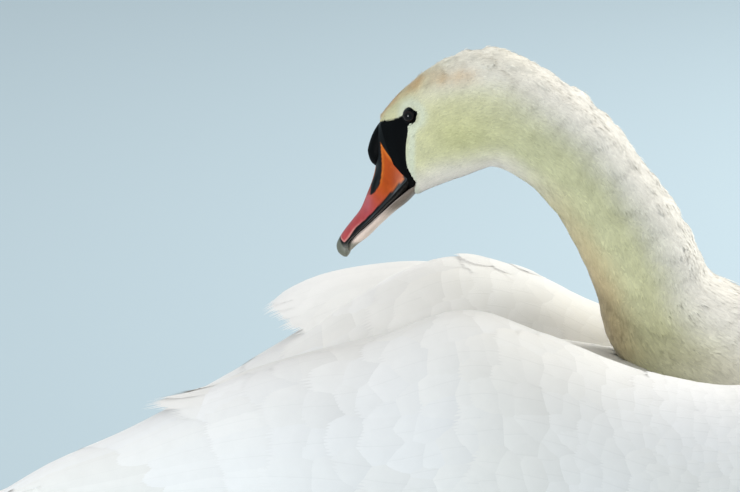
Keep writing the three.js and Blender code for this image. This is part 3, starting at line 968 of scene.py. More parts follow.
class BillSettings(bpy.types.PropertyGroup):
    """Colours of the bill and face"""

    orange: colour_setting("Shield", "Orange of the bill near the face", (0.72, 0.31, 0.08))
    rose: colour_setting("Shield tip", "Rose of the bill towards its tip", (0.70, 0.29, 0.30))
    black: colour_setting("Black", "Knob, face, nostrils and cutting edge", (0.025, 0.03, 0.034))
    nail: colour_setting("Nail", "Grey horn at the tip", (0.42, 0.43, 0.38))
    jaw: colour_setting("Lower bill", "Pale rose of the lower bill", (0.94, 0.86, 0.81))


class StageSettings(bpy.types.PropertyGroup):
    """Camera and backdrop"""

    distance: length_setting("Camera distance", "From the camera to what it looks at", 3.6, 1)
    view_width: length_setting("View width", "Width of the view at the neck", 0.592, 0.1)
    azimuth: turn_setting("Azimuth", "Turn of the camera round the bird", -4)
    elevation: turn_setting("Elevation", "Height of the camera as an angle", 14)
    backdrop: colour_setting("Backdrop", "Pale floor and background", (0.715, 0.795, 0.835))


# ------------------------------------------------------------------ skin
FLESH = ["trunk", "neck_base", "neck_bend", "neck_middle", "neck_upper", "head"] + [
    f"wing_{name}_{part}" for name in HANDS for part in ("shoulder", "arm", "primaries")
]


def black_face_distance(points):
    """Distance of points from the edge of the black skin round the bill, above 0 inside it."""
    x, _, z = off_neck_plane(points)
    return outline_distance(x, z, BLACK_FACE)


def skin_markings(points, style, black):
    """Colours of the skin: those of the feathers that grow nearest."""
    t, angle = np.arange(0, NECK_FORM.last + 0.1, 0.25), np.linspace(0, TAU, 60, False)
    t, angle = (a.ravel() for a in np.meshgrid(t, angle, indexing="ij"))
    known = [NECK_FORM.at(t, angle, -coat_depth(t))]
    for form in (TRUNK_FORM, *WING_FORMS.values()):
        places = np.meshgrid(np.arange(0, form.last, 0.5), np.linspace(0, TAU, 40, False))
        known.append(form.at(*(a.ravel() for a in places), -7.0))
    tree = KDTree(sum(len(part) for part in known))
    for k, place in enumerate(np.concatenate(known).tolist()):
        tree.insert(place, k)
    tree.balance()
    nearest = np.array([tree.find(p)[1] for p in points.tolist()])
    colours = body_colours(points, style)
    on_neck = nearest < len(t)
    spots = nearest[on_neck]
    colours[on_neck] = neck_colours(t[spots], angle[spots], style)
    dark = smooth(-1.0, 0.0, black_face_distance(points)) * (points[:, 0] < FACE_X)
    return mixed(colours, linear(black), dark)


class SWAN_OT_skin(bpy.types.Operator):
    """Makes the one skin that lies under all the feathers"""

    bl_idname = "swan.skin"
    bl_label = "Skin"

    def execute(self, context):
        style = context.scene.swan_plumage
        depth = coat_depth(np.linspace(0, NECK_FORM.last, 150))
        parts = [loft(NECK_FORM, 150, 72, -depth), loft(TRUNK_FORM, 110, 96, -BODY_DEPTH)]
        parts += [loft(form, 120, 64, -WING_DEPTH) for form in WING_FORMS.values()]
        points, faces = joined(parts)
        points[:, 2] = np.maximum(points[:, 2], 1.0)
        rough = bpy.data.objects.new("rough_skin", new_mesh("rough_skin", points, faces))
        context.scene.collection.objects.link(rough)
        remesh = rough.modifiers.new("Remesh", "REMESH")
        remesh.mode = "VOXEL"
        remesh.voxel_size = style.skin_voxel
        even = rough.modifiers.new("Smooth", "SMOOTH")
        even.iterations = 6
        context.view_layer.update()
        mesh = bpy.data.meshes.new_from_object(rough.evaluated_get(context.evaluated_depsgraph_get()))
        bpy.data.objects.remove(rough)
        mesh.name = "skin"
        mesh.polygons.foreach_set("use_smooth", np.full(len(mesh.polygons), True))
        paint(mesh, skin_markings(places_of(mesh), style, context.scene.swan_bill.black))
        add_piece("skin", mesh, skin_material("skin_down", style.body_white), "plumage", *FLESH)
        return {"FINISHED"}


# ------------------------------------------------------------------ bill and face
def bill_markings(points, look):
    """Colours of the upper bill: orange shield turning to rose, black edges and nostrils, grey nail."""
    x, _, z = off_neck_plane(points)
    edge = outline_distance(x, z, SHIELD)
    shield = edge + 0.12 * waves(points, 3, 14)
    sliver = outline_distance(x, z, CULMEN_SLIVER)
    nail = outline_distance(x, z, NAIL)
    warm = layered(
        look.orange, points,
        (DEEP_ORANGE, 0.6 * spot(x, z, (-186, 388), (9, 13))),
        # Painted light: the top of the shield, near its edge, in paler orange.
        (ORANGE_TOP_LIGHT, 0.6 * smooth(3.0, 0.3, shield) * smooth(374, 392, z)),
        (look.rose, smooth(384, 352, z + 0.35 * (x + 200))),
        (DEEP_ROSE, 0.6 * spot(x, z, (-207, 366), (4, 8))),
        # Painted highlight: pale rose along the shield's edge towards the tip.
        (ROSE_HIGHLIGHT, 0.6 * smooth(2.0, 0.2, shield) * smooth(356, 340, z)),
    )
    warm *= (1 + 0.06 * waves(points, 4, 15))[:, None]
    # Painted highlight: a thin grey line along the ridge of the cutting edge, inside the black band.
    ridge = hump(edge, -2.3, 0.3) * smooth(340, 356, z) * smooth(396, 388, z) * (x > z * 0.5 - 385)
    colours = layered(look.black, points, (RIDGE_HIGHLIGHT_GREY, 0.6 * ridge))
    colours = mixed(colours, warm, smooth(-0.3, 0.3, shield))
    colours = mixed(colours, warm * 0.8, smooth(-0.3, 0.3, sliver) * 0.9)
    colours = mixed(colours, linear(look.nail), smooth(-0.6, 0.8, nail))
    colours = mixed(colours, linear(NAIL_TIP), 0.7 * spot(x, z, (-224, 325), (3.5, 3.5)))
    return mixed(colours, linear(NAIL_RIM), 0.4 * hump(nail, 0.2, 0.5))


def cutting_edge(x):
    """Height of the bill's cutting edge at x."""
    return np.interp(x, *zip(*CUTTING_EDGE))


def jaw_markings(points, look):
    """Colours of the lower bill: pale rose with a grey rim, a dark base and a grey tip."""
    x, _, z = off_neck_plane(points)
    below = cutting_edge(x) - z
    return layered(
        look.jaw, points,
        (JAW_BASE, 0.9 * (smooth(350, 366, z) * smooth(1.0, 2.4, below))),
        (JAW_EDGE, 0.8 * hump(below, 1.1, 0.5)),
        (look.black, smooth(0.5, -0.3, below)),
        (JAW_TIP, smooth(333, 328, z) * 0.9),
    )


def nostril_depth(points):
    """How far the nostril sinks into the side of the bill, in millimetres."""
    x, w, z = off_neck_plane(points)
    ahead, up = x - NOSTRIL["x"], z - NOSTRIL["z"]
    along = (ahead * 0.27 + up * 0.96) / NOSTRIL["length"]
    across = (ahead * 0.96 - up * 0.27) / NOSTRIL["width"]
    return NOSTRIL["depth"] * np.exp(-(along**2) - across**2) * (np.abs(w) > 2)


def ball_mesh(centre, radius, axis):
    """Points and faces of a ball with its pole along an axis."""
    rings, sides = 48, 72
    pole = np.asarray(axis, float)
    first = np.cross(pole, [0.3, 0.2, 0.93] if abs(pole[2]) < 0.9 else [1.0, 0, 0])
    first /= np.linalg.norm(first)
    second = np.cross(pole, first)
    lat, lon = np.meshgrid(
        np.linspace(0.02, math.pi - 0.02, rings), np.linspace(0, TAU, sides, endpoint=False), indexing="ij"
    )
    flat = np.sin(lat)[..., None] * (np.cos(lon)[..., None] * first + np.sin(lon)[..., None] * second)
    points = np.asarray(centre) + (flat + np.cos(lat)[..., None] * pole) * radius
    ends = points[[0, -1]].mean(1)
    return np.concatenate([points.reshape(-1, 3), ends]), ring_mesh_faces(rings, sides)


def knob_mesh():
    """Points and faces of the knob, a slightly uneven egg that leans forward."""
    ball, faces = ball_mesh((0, 0, 0), 1, (0, 0, 1))
    ball *= 1 + 0.02 * waves(ball, 0.7, 21)[:, None]
    rise = ball[:, 2] * np.where(ball[:, 2] > 0, KNOB["up"], KNOB["down"])
    ahead = KNOB["x"] + ball[:, 0] * KNOB["along"] + KNOB["slope"] * np.maximum(rise, 0)
    return on_neck_plane(ahead, ball[:, 1] * KNOB["side"], KNOB["z"] + rise), faces


def face_mesh():
    """Points and faces of the black skin, cut from a fine net over the head and turned in at its edge."""
    rows, sides, rim = 150, 220, -1.2
    t, angle = np.linspace(17.6, NECK_FORM.last + 0.25, rows), np.linspace(0, TAU, sides, endpoint=False)
    t, angle = [a.ravel() for a in np.meshgrid(t, angle, indexing="ij")]
    edge = black_face_distance(NECK_FORM.at(t, angle))
    raised = 0.35 - coat_depth(np.minimum(t, 23)) - 1.1 * smooth(0.3, rim, edge)
    faces = ring_mesh_faces(rows, sides, closed_ends=False)[0]
    faces = faces[(edge[faces] > rim).all(1)]
    used, index = np.unique(faces, return_inverse=True)
    return NECK_FORM.at(t, angle, raised)[used], [index.reshape(faces.shape)]


class SWAN_OT_bill(bpy.types.Operator):
    """Makes the upper and lower bill, the knob and the black skin of the face"""

    bl_idname = "swan.bill"
    bl_label = "Bill and face"

    def execute(self, context):
        look = context.scene.swan_bill
        horn = horn_material("bill_horn", look.orange, 0.34)
        under = horn_material("bill_under", look.jaw, 0.42)
        black = bare_skin_material("black_skin", look.black, 0.5, 1100.0, 0.35)

        points, faces = loft(BILL_FORM, 260, 150)
        outwards = points - on_neck_plane(points[:, 0], 0, points[:, 2])
        outwards /= np.linalg.norm(outwards, axis=1, keepdims=True) + 1e-9
        points = points - outwards * nostril_depth(points)[:, None]
        markings = bill_markings(points, look)
        shaped_piece("bill_upper_horn", points, faces, horn, "bill_horn", "bill_upper", colours=markings)

        points, faces = loft(JAW_FORM, 150, 100)
        markings = jaw_markings(points, look)
        shaped_piece("bill_lower_horn", points, faces, under, "bill_under", "bill_lower", colours=markings)
        shaped_piece("knob", *knob_mesh(), black, "black_skin", "bill_knob")
        shaped_piece("face_skin", *face_mesh(), black, "black_skin")
        return {"FINISHED"}


# ------------------------------------------------------------------ eyes
def eye_frame(hand):
    """Centre of an eye, and its outward, forward and upward directions."""
    centre = on_neck_plane(EYE["x"], hand * EYE["side"], EYE["z"])
    outward = on_neck_plane(EYE["x"], hand * (EYE["side"] + 1), EYE["z"]) - centre
    outward += (-0.12, 0, 0.02)
    outward /= np.linalg.norm(outward)
    upward = np.array([0, 0, 1.0]) - outward[2] * outward
    upward /= np.linalg.norm(upward)
    forward = np.cross(upward, outward) * hand
    return centre, outward, forward * np.sign(-forward[0]), upward


def corner_pull(theta):
    """How far the eye's rear corner draws its edge out in a direction."""
    apart = np.angle(np.exp(1j * (theta - EYE_CORNER)))
    return np.exp(-(apart**2) / 0.06)


def eye_clearance(points):
    """How far points lie from the nearer eye, where 1 is the edge of its lid."""
    nearest = np.full(len(points), 9.0)
    for hand in HANDS.values():
        centre, outward, forward, upward = eye_frame(hand)
        apart = points - centre
        a, b = apart @ forward / LID_EDGE[0], (apart @ upward + 0.4) / LID_EDGE[1]
        share = np.hypot(a, b) / (1 + 0.26 * corner_pull(np.arctan2(b, a))) - 0.2 * np.clip(a, 0, 1)
        nearest = np.minimum(nearest, np.where(apart @ outward > -6, share, 9.0))
    return nearest


def lid_mesh(hand, head):
    """A black lid round the opening of the eye, its rear corner drawn out, fitted to the head's surface."""
    centre, outward, forward, upward = eye_frame(hand)
    sides = 96
    theta = np.linspace(0, TAU, sides, endpoint=False)
    corner, round_trip = corner_pull(theta), np.stack([np.cos(theta), np.sin(theta)])
    opening = np.array(LID_OPENING)[:, None] * round_trip * (1 + 0.12 * corner)
    edge = (np.array(LID_EDGE)[:, None] * round_trip - [[0], [0.4]]) * (1 + 0.26 * corner)
    shares = (0, 0.08, 0.2, 0.35, 0.5, 0.65, 0.8, 0.92, 1.0, 1.08)  # places from the opening to the edge
    rings = []
    for share in shares:
        a, b = opening * (1 - share) + edge * share
        flat = centre + a[:, None] * forward + b[:, None] * upward
        reach = np.minimum(np.hypot(a, b), EYE["radius"] - 0.25)
        on_ball = np.sqrt(EYE["radius"] ** 2 - reach**2)
        ahead = (flat + 30 * outward).tolist()
        hits = [head.ray_cast(Vector(place), Vector(-outward))[0] for place in ahead]
        ground = np.array([(np.array(hit) - centre) @ outward if hit else 0.0 for hit in hits])
        part = min(share, 1.0)
        depth = on_ball * (1 - part) + (ground + 0.2) * part + 0.5 * math.sin(math.pi * part) ** 0.8
        depth -= 0.3 * (share == 0) + 1.5 * (share > 1)
        rings.append(flat + depth[:, None] * outward)
    return np.concatenate(rings), ring_mesh_faces(len(shares), sides, closed_ends=False)


class SWAN_OT_eyes(bpy.types.Operator):
    """Makes both eyes and their lids"""

    bl_idname = "swan.eyes"
    bl_label = "Eyes"

    def execute(self, context):
        wet = eye_material()
        points, faces = loft(NECK_FORM, 220, 140)
        head = BVHTree.FromPolygons(points.tolist(), [face for group in faces for face in group.tolist()])
        lid_skin = bare_skin_material("lid_skin", context.scene.swan_bill.black, 0.42, 1500.0, 0.4)
        for name, hand in HANDS.items():
            centre, outward, _, _ = eye_frame(hand)
            points, faces = ball_mesh(centre, EYE["radius"], outward)
            radial = np.linalg.norm(np.cross(points - centre, outward), axis=1)
            front = (points - centre) @ outward > 0
            pupil, rim = smooth(3.2, 2.9, radial) * front, smooth(4.0, 4.8, radial)
            colours = layered(IRIS, points, (PUPIL, pupil), (EYE_RIM, rim))
            shaped_piece(f"eye_ball_{name}", points, faces, wet, "eye", f"eye_{name}", colours=colours)
            shaped_piece(f"eye_lid_{name}", *lid_mesh(hand, head), lid_skin, "black_skin")
        return {"FINISHED"}


# ------------------------------------------------------------------ down of the neck and head
# Length of the locks at rows of the neck.
LOCK_LENGTHS = [(0, 15), (5, 12), (13, 9.5), (17, 7.5), (20, 4.6), (22, 3.4), (23, 3.0)]


def down_relief(t, angle):
    """How far the locks stand out over the neck, and the soft clumps in which they lie."""
    points = NECK_FORM.at(t, angle)
    rise = np.cos(angle)
    clump = waves(points, 15, 8) * 0.6 + waves(points, 8, 9) * 0.4
    lift = np.interp(t, [0, 12, 17, 20, 23], [0.5, 0.6, 0.5, 0.22, 0.06])
    peaks = smooth(0.2, 1.2, waves(points, 9, 12)) * smooth(0.4, 0.9, rise) * smooth(23, 19, t)
    return lift * clump * (1.3 + 1.3 * smooth(-0.2, 0.6, rise)) + 1.8 * peaks, clump


def down_locks(name, t0, t1, count, seed, style, buried, material):
    """A piece of down on the neck or head, its locks smaller and flatter towards the face."""
    rng = np.random.default_rng(seed)
    t, angle = scattered(NECK_FORM, t0, t1, count, rng)
    points = NECK_FORM.at(t, angle)
    keep = buried.height(points) > 0
    keep &= ~((black_face_distance(points) > -0.7) & (points[:, 0] < FACE_X))
    keep &= eye_clearance(points) > 1.05
    t, angle, points = t[keep], angle[keep], points[keep]
    n = len(t)
    length = np.interp(t, *zip(*LOCK_LENGTHS)) * rng.uniform(0.8, 1.2, n)
    width = length * np.interp(t, [0, 13, 18, 23], [0.19, 0.18, 0.22, 0.28])
    depth = coat_depth(t)
    low = -depth * rng.uniform(0.35, 0.45, n)
    _, turn_step, _ = NECK_FORM.steps(t, angle)
    side = width / 2 / turn_step
    relief, clump = down_relief(t, angle)
    bank = (down_relief(t, angle + side)[0] - down_relief(t, angle - side)[0]) / 2
    loose = (rng.random(n) < 0.012) * smooth(0.7, 0.95, np.cos(angle)) * rng.uniform(0.5, 1.8, n)
    high = relief + rng.normal(0, 0.1, n) - 0.05 * depth + loose
    turn = 0.16 * waves(points, 14, 6) + rng.normal(0, 0.13, n)
    laid = lay_feathers(
        NECK_FORM, lock_shape(), t, angle, length, width, low, high, rng, turn, ragged=0.1, camber=0.05,
        bank=bank,
    )
    # Painted light and shade on the relief: locks are lighter where their clump stands out and darker in its
    # hollows; the rest of the spread is random.
    colours = neck_colours(t, angle, style) * (1 + 0.07 * clump + rng.normal(0, 0.055, n))[:, None]
    places = unwrapped(t, angle, t0, t1)
    return coat_piece(name, laid, colours, places, material, "neck_down", 0.65, length, width)


class SWAN_OT_neck_down(bpy.types.Operator):
    """Covers the neck and head with locks of down"""

    bl_idname = "swan.neck_down"
    bl_label = "Down of neck and head"

    def execute(self, context):
        style = context.scene.swan_plumage
        buried = Buried(bpy.data.objects["skin"])
        down = feather_material(
            "cream_down", style.neck_cream_and_shade, spacing=0.5, strength=0.15, contrast=0.06, sheen=0.4,
            light_through=0.06,
        )
        for part, first, last, count, seed in (
            ("neck_low", 0.2, 9.0, style.neck_locks, 31),
            ("neck_middle", 9.0, 13.0, style.neck_locks, 34),
            ("neck_high", 13.0, HEAD_ROW, style.neck_locks, 32),
            ("head", HEAD_ROW, 23.3, style.head_locks, 33),
        ):
            down_locks(f"down_{part}", first, last, count, seed, style, buried, down)
        return {"FINISHED"}


# ------------------------------------------------------------------ contour feathers
def crest_fold(t, angle):
    """Rise of the feathers that end in a small fold on the crest of the left wing."""
    return 3.0 * smooth(5.0, 6.1, t) * smooth(6.36, 6.26, t) * hump(angle, 0.32, 0.2)


def contour_feathers(name, form, span, angles, sizes, depth, seed, style, buried, material, shape,
                     slant=0.0, uneven_end=0.0):
    """A piece of overlapping body feathers between two rows and two angles.

    sizes gives the feathers' length at some rows, depth how deep their roots lie, and uneven_end how far
    back from the last row some of them stop.
    """
    rng = np.random.default_rng(seed)
    rows, lengths = zip(*sizes)
    size = lambda t: np.interp(t, rows, lengths)
    t, angle = shingled(form, *span, *angles, lambda t: 0.3 * size(t), lambda t: 0.38 * size(t), rng, slant)
    points = form.at(t, angle)
    end = span[1] - uneven_end * (0.5 + 0.5 * waves(points, 55, 13)) + slant * np.abs(angle)
    keep = (buried.height(points) > -3) & (t < end)
    t, angle, points = t[keep], angle[keep], points[keep]
    n = len(t)
    length = size(t) * rng.uniform(0.88, 1.12, n)
    width = length * np.interp(length, [20, 80], [0.8, 0.62])
    low = -depth * rng.uniform(0.6, 0.75, n)
    high = 0.4 * waves(points, 45, 4) + rng.normal(0, 0.05, n)
    if form is WING_FORMS["left"]:
        high = high + crest_fold(t, angle)
    turn = 0.1 * waves(points, 60, 7) + rng.normal(0, 0.07, n)
    laid = lay_feathers(
        form, shape, t, angle, length, width, low, high, rng, turn, ragged=0.08, camber=0.04, settle=4.0,
        dip=0.8,
    )
    colours = body_colours(points, style) * (1 + rng.normal(0, 0.009, n))[:, None]
    places = unwrapped(t, angle, *span)
    return coat_piece(name, laid, colours, places, material, "plumage", 0.75, length, width, root_shade=0.14)


class SWAN_OT_body_feathers(bpy.types.Operator):
    """Covers the trunk with contour feathers, small on the breast and longer on the rump"""

    bl_idname = "swan.body_feathers"
    bl_label = "Body feathers"

    def execute(self, context):
        style = context.scene.swan_plumage
        buried = Buried(bpy.data.objects["skin"])
        white = feather_material(
            "contour_plumage", style.body_white, spacing=0.9, strength=0.3, contrast=0.07, sheen=0.25
        )
        shape = feather_shape(8, 5, 0.12, 0.6)
        sizes = [(0, 17), (3, 24), (8, 32), (12, 46), (14, 75)]
        for k, (name, span) in enumerate({"breast": (-0.6, 5.0), "rump": (5.0, 13.9)}.items()):
            contour_feathers(
                f"feathers_{name}", TRUNK_FORM, span, (-math.pi, math.pi), sizes, BODY_DEPTH, 41 + k, style,
                buried, white, shape,
            )
        return {"FINISHED"}


class SWAN_OT_wing_feathers(bpy.types.Operator):
    """Lays coverts, scapulars and flight feathers on both wings"""

    bl_idname = "swan.wing_feathers"
    bl_label = "Wing feathers"

    def execute(self, context):
        style = context.scene.swan_plumage
        buried = Buried(bpy.data.objects["skin"])
        white = bpy.data.materials["contour_plumage"]
        quill = feather_material(
            "quill_plumage", style.body_white, spacing=1.1, strength=0.25, contrast=0.05, sheen=0.25
        )
        small, large = feather_shape(8, 5, 0.15, 0.6), feather_shape(14, 8, 0.13, 0.62)
        for k, (name, form) in enumerate(WING_FORMS.items()):
            contour_feathers(
                f"feathers_wing_front_{name}", form, (-0.3, 4.6), (-2.2, 2.9), [(0, 18), (3, 26), (5, 36)],
                WING_DEPTH, 51 + k, style, buried, white, small,
            )
            contour_feathers(
                f"feathers_wing_rear_{name}", form, (4.8, 9.0), (-2.4, 2.9),
                [(4.6, 40), (6, 50), (8, 68), (9, 82)], WING_DEPTH, 54 + k, style, buried, white, large,
                slant=-0.3, uneven_end=0.3,
            )
            flight_feathers(name, form, style, quill, 61 + k)
            tertial_feathers(name, style, quill, 71 + k)
        return {"FINISHED"}


class FeatherRow(NamedTuple):
    """A row of long feathers: their form, shape, places, sizes and how each is laid."""

    form: SheetForm
    shape: tuple
    t: object
    angle: object
    length: object
    width: object
    low: object
    high: object
    turn: object
    bank: float
    curl: object = 0.0
    ragged: float = 0.012
    splay: float = 0.0


def long_feathers(name, rows, style, material, seed, *nodes):
    """A piece of long feathers from rows of them."""
    rng = np.random.default_rng(seed)
    parts, colours = [], []
    for row in rows:
        turn = row.turn + rng.normal(0, 0.008, len(row.t))
        parts.append(lay_feathers(
            *row[:8], rng, turn, row.ragged, 0.02, settle=2.0, walked=True, bank=row.bank, curl=row.curl,
            splay=row.splay,
        ))
        white = body_colours(row.form.at(row.t, row.angle), style)
        colours.append(white * (1 + rng.normal(0, 0.01, len(row.t)))[:, None])
    counts = [len(c) for c in colours]
    corners = [len(part[0]) // n for part, n in zip(parts, counts)]
    _, faces = joined([(part[0], part[4]) for part in parts])
    laid = tuple(np.concatenate([part[k] for part in parts]) for k in range(4)) + (faces,)
    side, place = math.ceil(math.sqrt(sum(counts))), np.arange(sum(counts))
    grid = np.c_[place % side + 0.5, place // side + 0.5] / side
    lengths, widths = (np.concatenate([getattr(row, of) for row in rows]) for of in ("length", "width"))
    return coat_piece(
        name, laid, np.concatenate(colours), grid, material, "plumage", 0.65, lengths, widths, *nodes,
        patch=0.8 / side, corners=np.repeat(corners, counts),
    )


def fan(n, first, last):
    """Even steps from one side of a fan of n feathers to the other."""
    return np.linspace(first, last, n)


def flight_feathers(name, form, style, material, seed):
    """Primaries lowest, then secondaries, then the greater coverts over their roots."""
    vane, covert = feather_shape(12, 14, 0.015, 0.84, 0.25), feather_shape(14, 8, 0.04, 0.78, 0.3)
    low, middle, high = fan(12, 2.3, -1.5), fan(18, 2.6, -1.8), fan(24, 2.8, -2.2)
    rng = np.random.default_rng(seed + 100)
    uneven = lambda n: rng.uniform(0.92, 1.05, n)
    primaries = FeatherRow(
        form, vane, 9.5 - 0.2 * np.abs(low), low, (150 + 92 * np.sin(fan(12, 0.1, 2.3))) * uneven(12),
        fan(12, 34, 30), low=-2.6, high=-1.2, turn=fan(12, 0.02, -0.02), bank=0.1,
    )
    secondaries = FeatherRow(
        form, vane, 9.0 - 0.3 * np.abs(middle), middle,
        (118 + 62 * np.sin(fan(18, 0.1, 2.3))) * uneven(18), fan(18, 38, 42), low=-2.4, high=-0.8,
        turn=fan(18, 0.02, -0.02), bank=0.1,
    )
    coverts = FeatherRow(
        form, covert, 8.9 - 0.3 * np.abs(high), high, fan(24, 100, 112) * uneven(24), fan(24, 38, 42),
        low=-2.4, high=-0.4, turn=fan(24, 0.02, -0.02), bank=0.1, ragged=0.03, splay=0.3,
    )
    long_feathers(f"flight_{name}", (primaries, secondaries, coverts), style, material, seed)


# Lengths of the inner flight feathers, how high each lies over the one below, and the rise of its end.
TERTIAL_REACH = {"right": (186, 212, 238, 256, 252, 236), "left": (176, 177, 172, 164, 154, 140)}
TERTIAL_LIFT = {"right": (0.5, 1.5, 2.5, 3.0, 3.0, 3.0), "left": (-1.5, 0.0, 1.5, 3.0, 4.2, 5.2)}
TERTIAL_CURL = {"right": (0, 2, 4, 6, 8, 9), "left": (0, -2, -4, -5, -5, -4)}


def tertial_feathers(name, style, material, seed):
    """The free inner flight feathers, with loose fringes at their ends."""
    n = len(TERTIAL_REACH[name])
    lift = np.array(TERTIAL_LIFT[name])
    row = FeatherRow(
        TERTIAL_FORMS[name], feather_shape(22, 14, 0.06, 0.84, 0.3), fan(n, 0.1, 0.0), fan(n, 17, -17),
        np.array(TERTIAL_REACH[name], float), fan(n, 29, 27), low=lift - 2, high=lift,
        turn=fan(n, 0.05, -0.05), bank=-0.8, curl=np.array(TERTIAL_CURL[name], float), ragged=0.035,
        splay=1.0,
    )
    long_feathers(f"tertial_feathers_{name}", (row,), style, material, seed, f"tertials_{name}")


class SWAN_OT_tail_feathers(bpy.types.Operator):
    """Fans the tail feathers"""

    bl_idname = "swan.tail_feathers"
    bl_label = "Tail feathers"

    def execute(self, context):
        style = context.scene.swan_plumage
        n = 11
        shape, share = feather_shape(12, 14, 0.02, 0.84, 0.3), fan(n, 1, 0.04)
        rows = [
            FeatherRow(
                TAIL_FORM, shape, 0.7 - 0.2 * share, side * 30 * share, 222 - 70 * share**1.6,
                np.full(n, 32.0), low=fan(n, -6, 0), high=fan(n, -4, 1.5), turn=side * 0.13 * share,
                bank=side * 0.8,
            )
            for side in (1, -1)
        ]
        quill = bpy.data.materials["quill_plumage"]
        long_feathers("tail_feathers", rows, style, quill, 81, "tail")
        return {"FINISHED"}


# ------------------------------------------------------------------ feet
def tube(points, radii, sides=18):
    """Points and faces of a tapering limb along a curve through some points."""
    rows = np.c_[np.asarray(points, float), np.asarray(radii, float)]
    fine = rows_at(rows, np.linspace(0, len(rows) - 1, 10 * len(rows)))
    middle, radius = fine[:, :3], fine[:, 3]
    ahead = np.gradient(middle, axis=0)
    ahead /= np.linalg.norm(ahead, axis=1, keepdims=True)
    across = np.cross(ahead, (0, 0, 1.0))
    across /= np.linalg.norm(across, axis=1, keepdims=True) + 1e-9
    up = np.cross(across, ahead)
    angle = np.linspace(0, TAU, sides, endpoint=False)[None, :, None]
    unit = np.cos(angle) * across[:, None] + np.sin(angle) * up[:, None]
    rings = middle[:, None] + radius[:, None, None] * unit
    ends = rings[[0, -1]].mean(1)
    return np.concatenate([rings.reshape(-1, 3), ends]), ring_mesh_faces(len(fine), sides)


SHANK = [(-268, 66, 40), (-258, 66, 36), (-236, 67, 27), (-200, 69, 17), (-166, 70, 11)]
ANKLE = (-168, 70, 12)
TOES = ((-26, 98), (4, 116), (32, 104))  # how far each toe spreads outwards and reaches forward


def toe_line(hand, spread, reach):
    """Points of one toe from the ankle forward along the floor."""
    ankle = np.array(ANKLE)
    tip = np.array([ANKLE[0] + reach, ANKLE[1] + spread, 3.2])
    line = [ankle, ankle * 0.62 + tip * 0.38 + (0, 0, 1.5), ankle * 0.3 + tip * 0.7 + (0, 0, 1.0), tip]
    return np.array(line) * (1, hand, 1)


def web_parts(inner, outer):
    """The thin web between two toes, as an upper and a lower sheet."""
    rows, sides, length = 24, 12, 2.75
    along, across = np.linspace(0, 1, rows), np.linspace(0, 1, sides)
    sag, s = np.sin(math.pi * across)[None], across[None, :, None]
    a, b = (rows_at(line, along * length)[:, None] for line in (inner, outer))
    sheet = a * (1 - s) + b * s
    sheet[:, :, 0] -= (along[:, None] ** 3) * 12 * sag
    sheet[:, :, 2] = np.maximum(sheet[:, :, 2] * 0.5 - 0.8 * sag, 1.0)
    round_trip = ring_mesh_faces(rows, sides, closed_ends=False)[0].reshape(rows - 1, sides, 4)
    quads = round_trip[:, :-1].reshape(-1, 4)
    points = sheet.reshape(-1, 3)
    return [(points + (0, 0, 0.5), [quads]), (points - (0, 0, 0.5), [quads[:, ::-1]])]


def claw(line):
    """A curved claw at the end of a toe."""
    ahead = (line[-1] - line[-2]) / np.linalg.norm(line[-1] - line[-2])
    root = line[-1] - ahead * 2
    return tube([root, root + ahead * 5 + (0, 0, 0.4), root + ahead * 9 - (0, 0, 1.2)], [2.4, 1.8, 0.4], 12)


def foot_parts(hand):
    """Shank, three toes and the webs between them, and the claws."""
    shank = tube(np.array(SHANK) * (1, hand, 1), [6.5, 9.5, 7.0, 6.2, 8.0])
    toes = [toe_line(hand, spread, reach) for spread, reach in TOES]
    limbs = [shank] + [tube(line, [6.5, 5.2, 4.4, 2.8]) for line in toes]
    webs = [sheet for pair in zip(toes, toes[1:]) for sheet in web_parts(*pair)]
    return joined(limbs + webs), joined([claw(line) for line in toes])


class SWAN_OT_feet(bpy.types.Operator):
    """Makes the tucked feet with their webs and claws"""

    bl_idname = "swan.feet"
    bl_label = "Feet"

    def execute(self, context):
        scaly = bare_skin_material("foot_skin", (0.20, 0.20, 0.21), 0.62, 420.0, 0.8)
        horn = bare_skin_material("claw_horn", (0.10, 0.10, 0.10), 0.35, 1500.0, 0.2)
        for name, hand in HANDS.items():
            foot, claws = foot_parts(hand)
            for points, _ in (foot, claws):
                points[:, 2] = np.maximum(points[:, 2], 0.3)
            shaped_piece(f"webbed_foot_{name}", *foot, scaly, "foot_skin", f"foot_{name}")
            shaped_piece(f"claws_{name}", *claws, horn, "foot_skin")
        return {"FINISHED"}


# ------------------------------------------------------------------ stage
LOOK_AT = (-0.2086, 0.0553, 0.3275)  # in metres, as all that follows
FLOOR_REACH = 9


def add_lamp(name, place, target, size, watts, colour):
    """Adds a round soft lamp that looks at a target."""
    lamp = bpy.data.lights.new(name, "AREA")
    lamp.shape = "DISK"
    lamp.size = size
    lamp.energy = watts
    lamp.color = colour
    made = bpy.data.objects.new(name, lamp)
    made.location = place
    made.rotation_euler = (Vector(target) - Vector(place)).to_track_quat("-Z", "Y").to_euler()
    bpy.context.scene.collection.objects.link(made)


def stage_colour(tree, surface, backdrop, strength):
    """Makes what the camera and glossy rays see the plain backdrop colour."""
    path = add_node(tree, "ShaderNodeLightPath").outputs
    seen = maths(tree, "MAXIMUM", path["Is Camera Ray"], path["Is Glossy Ray"])
    plain = add_node(tree, "ShaderNodeBackground", {"Color": backdrop, "Strength": 1.0}).outputs[0]
    lit = add_node(tree, "ShaderNodeBackground", {"Color": (1, 1, 1, 1), "Strength": strength}).outputs[0]
    mix = add_node(tree, "ShaderNodeMixShader", {0: seen, 1: lit, 2: plain})
    tree.links.new(mix.outputs[0], surface)


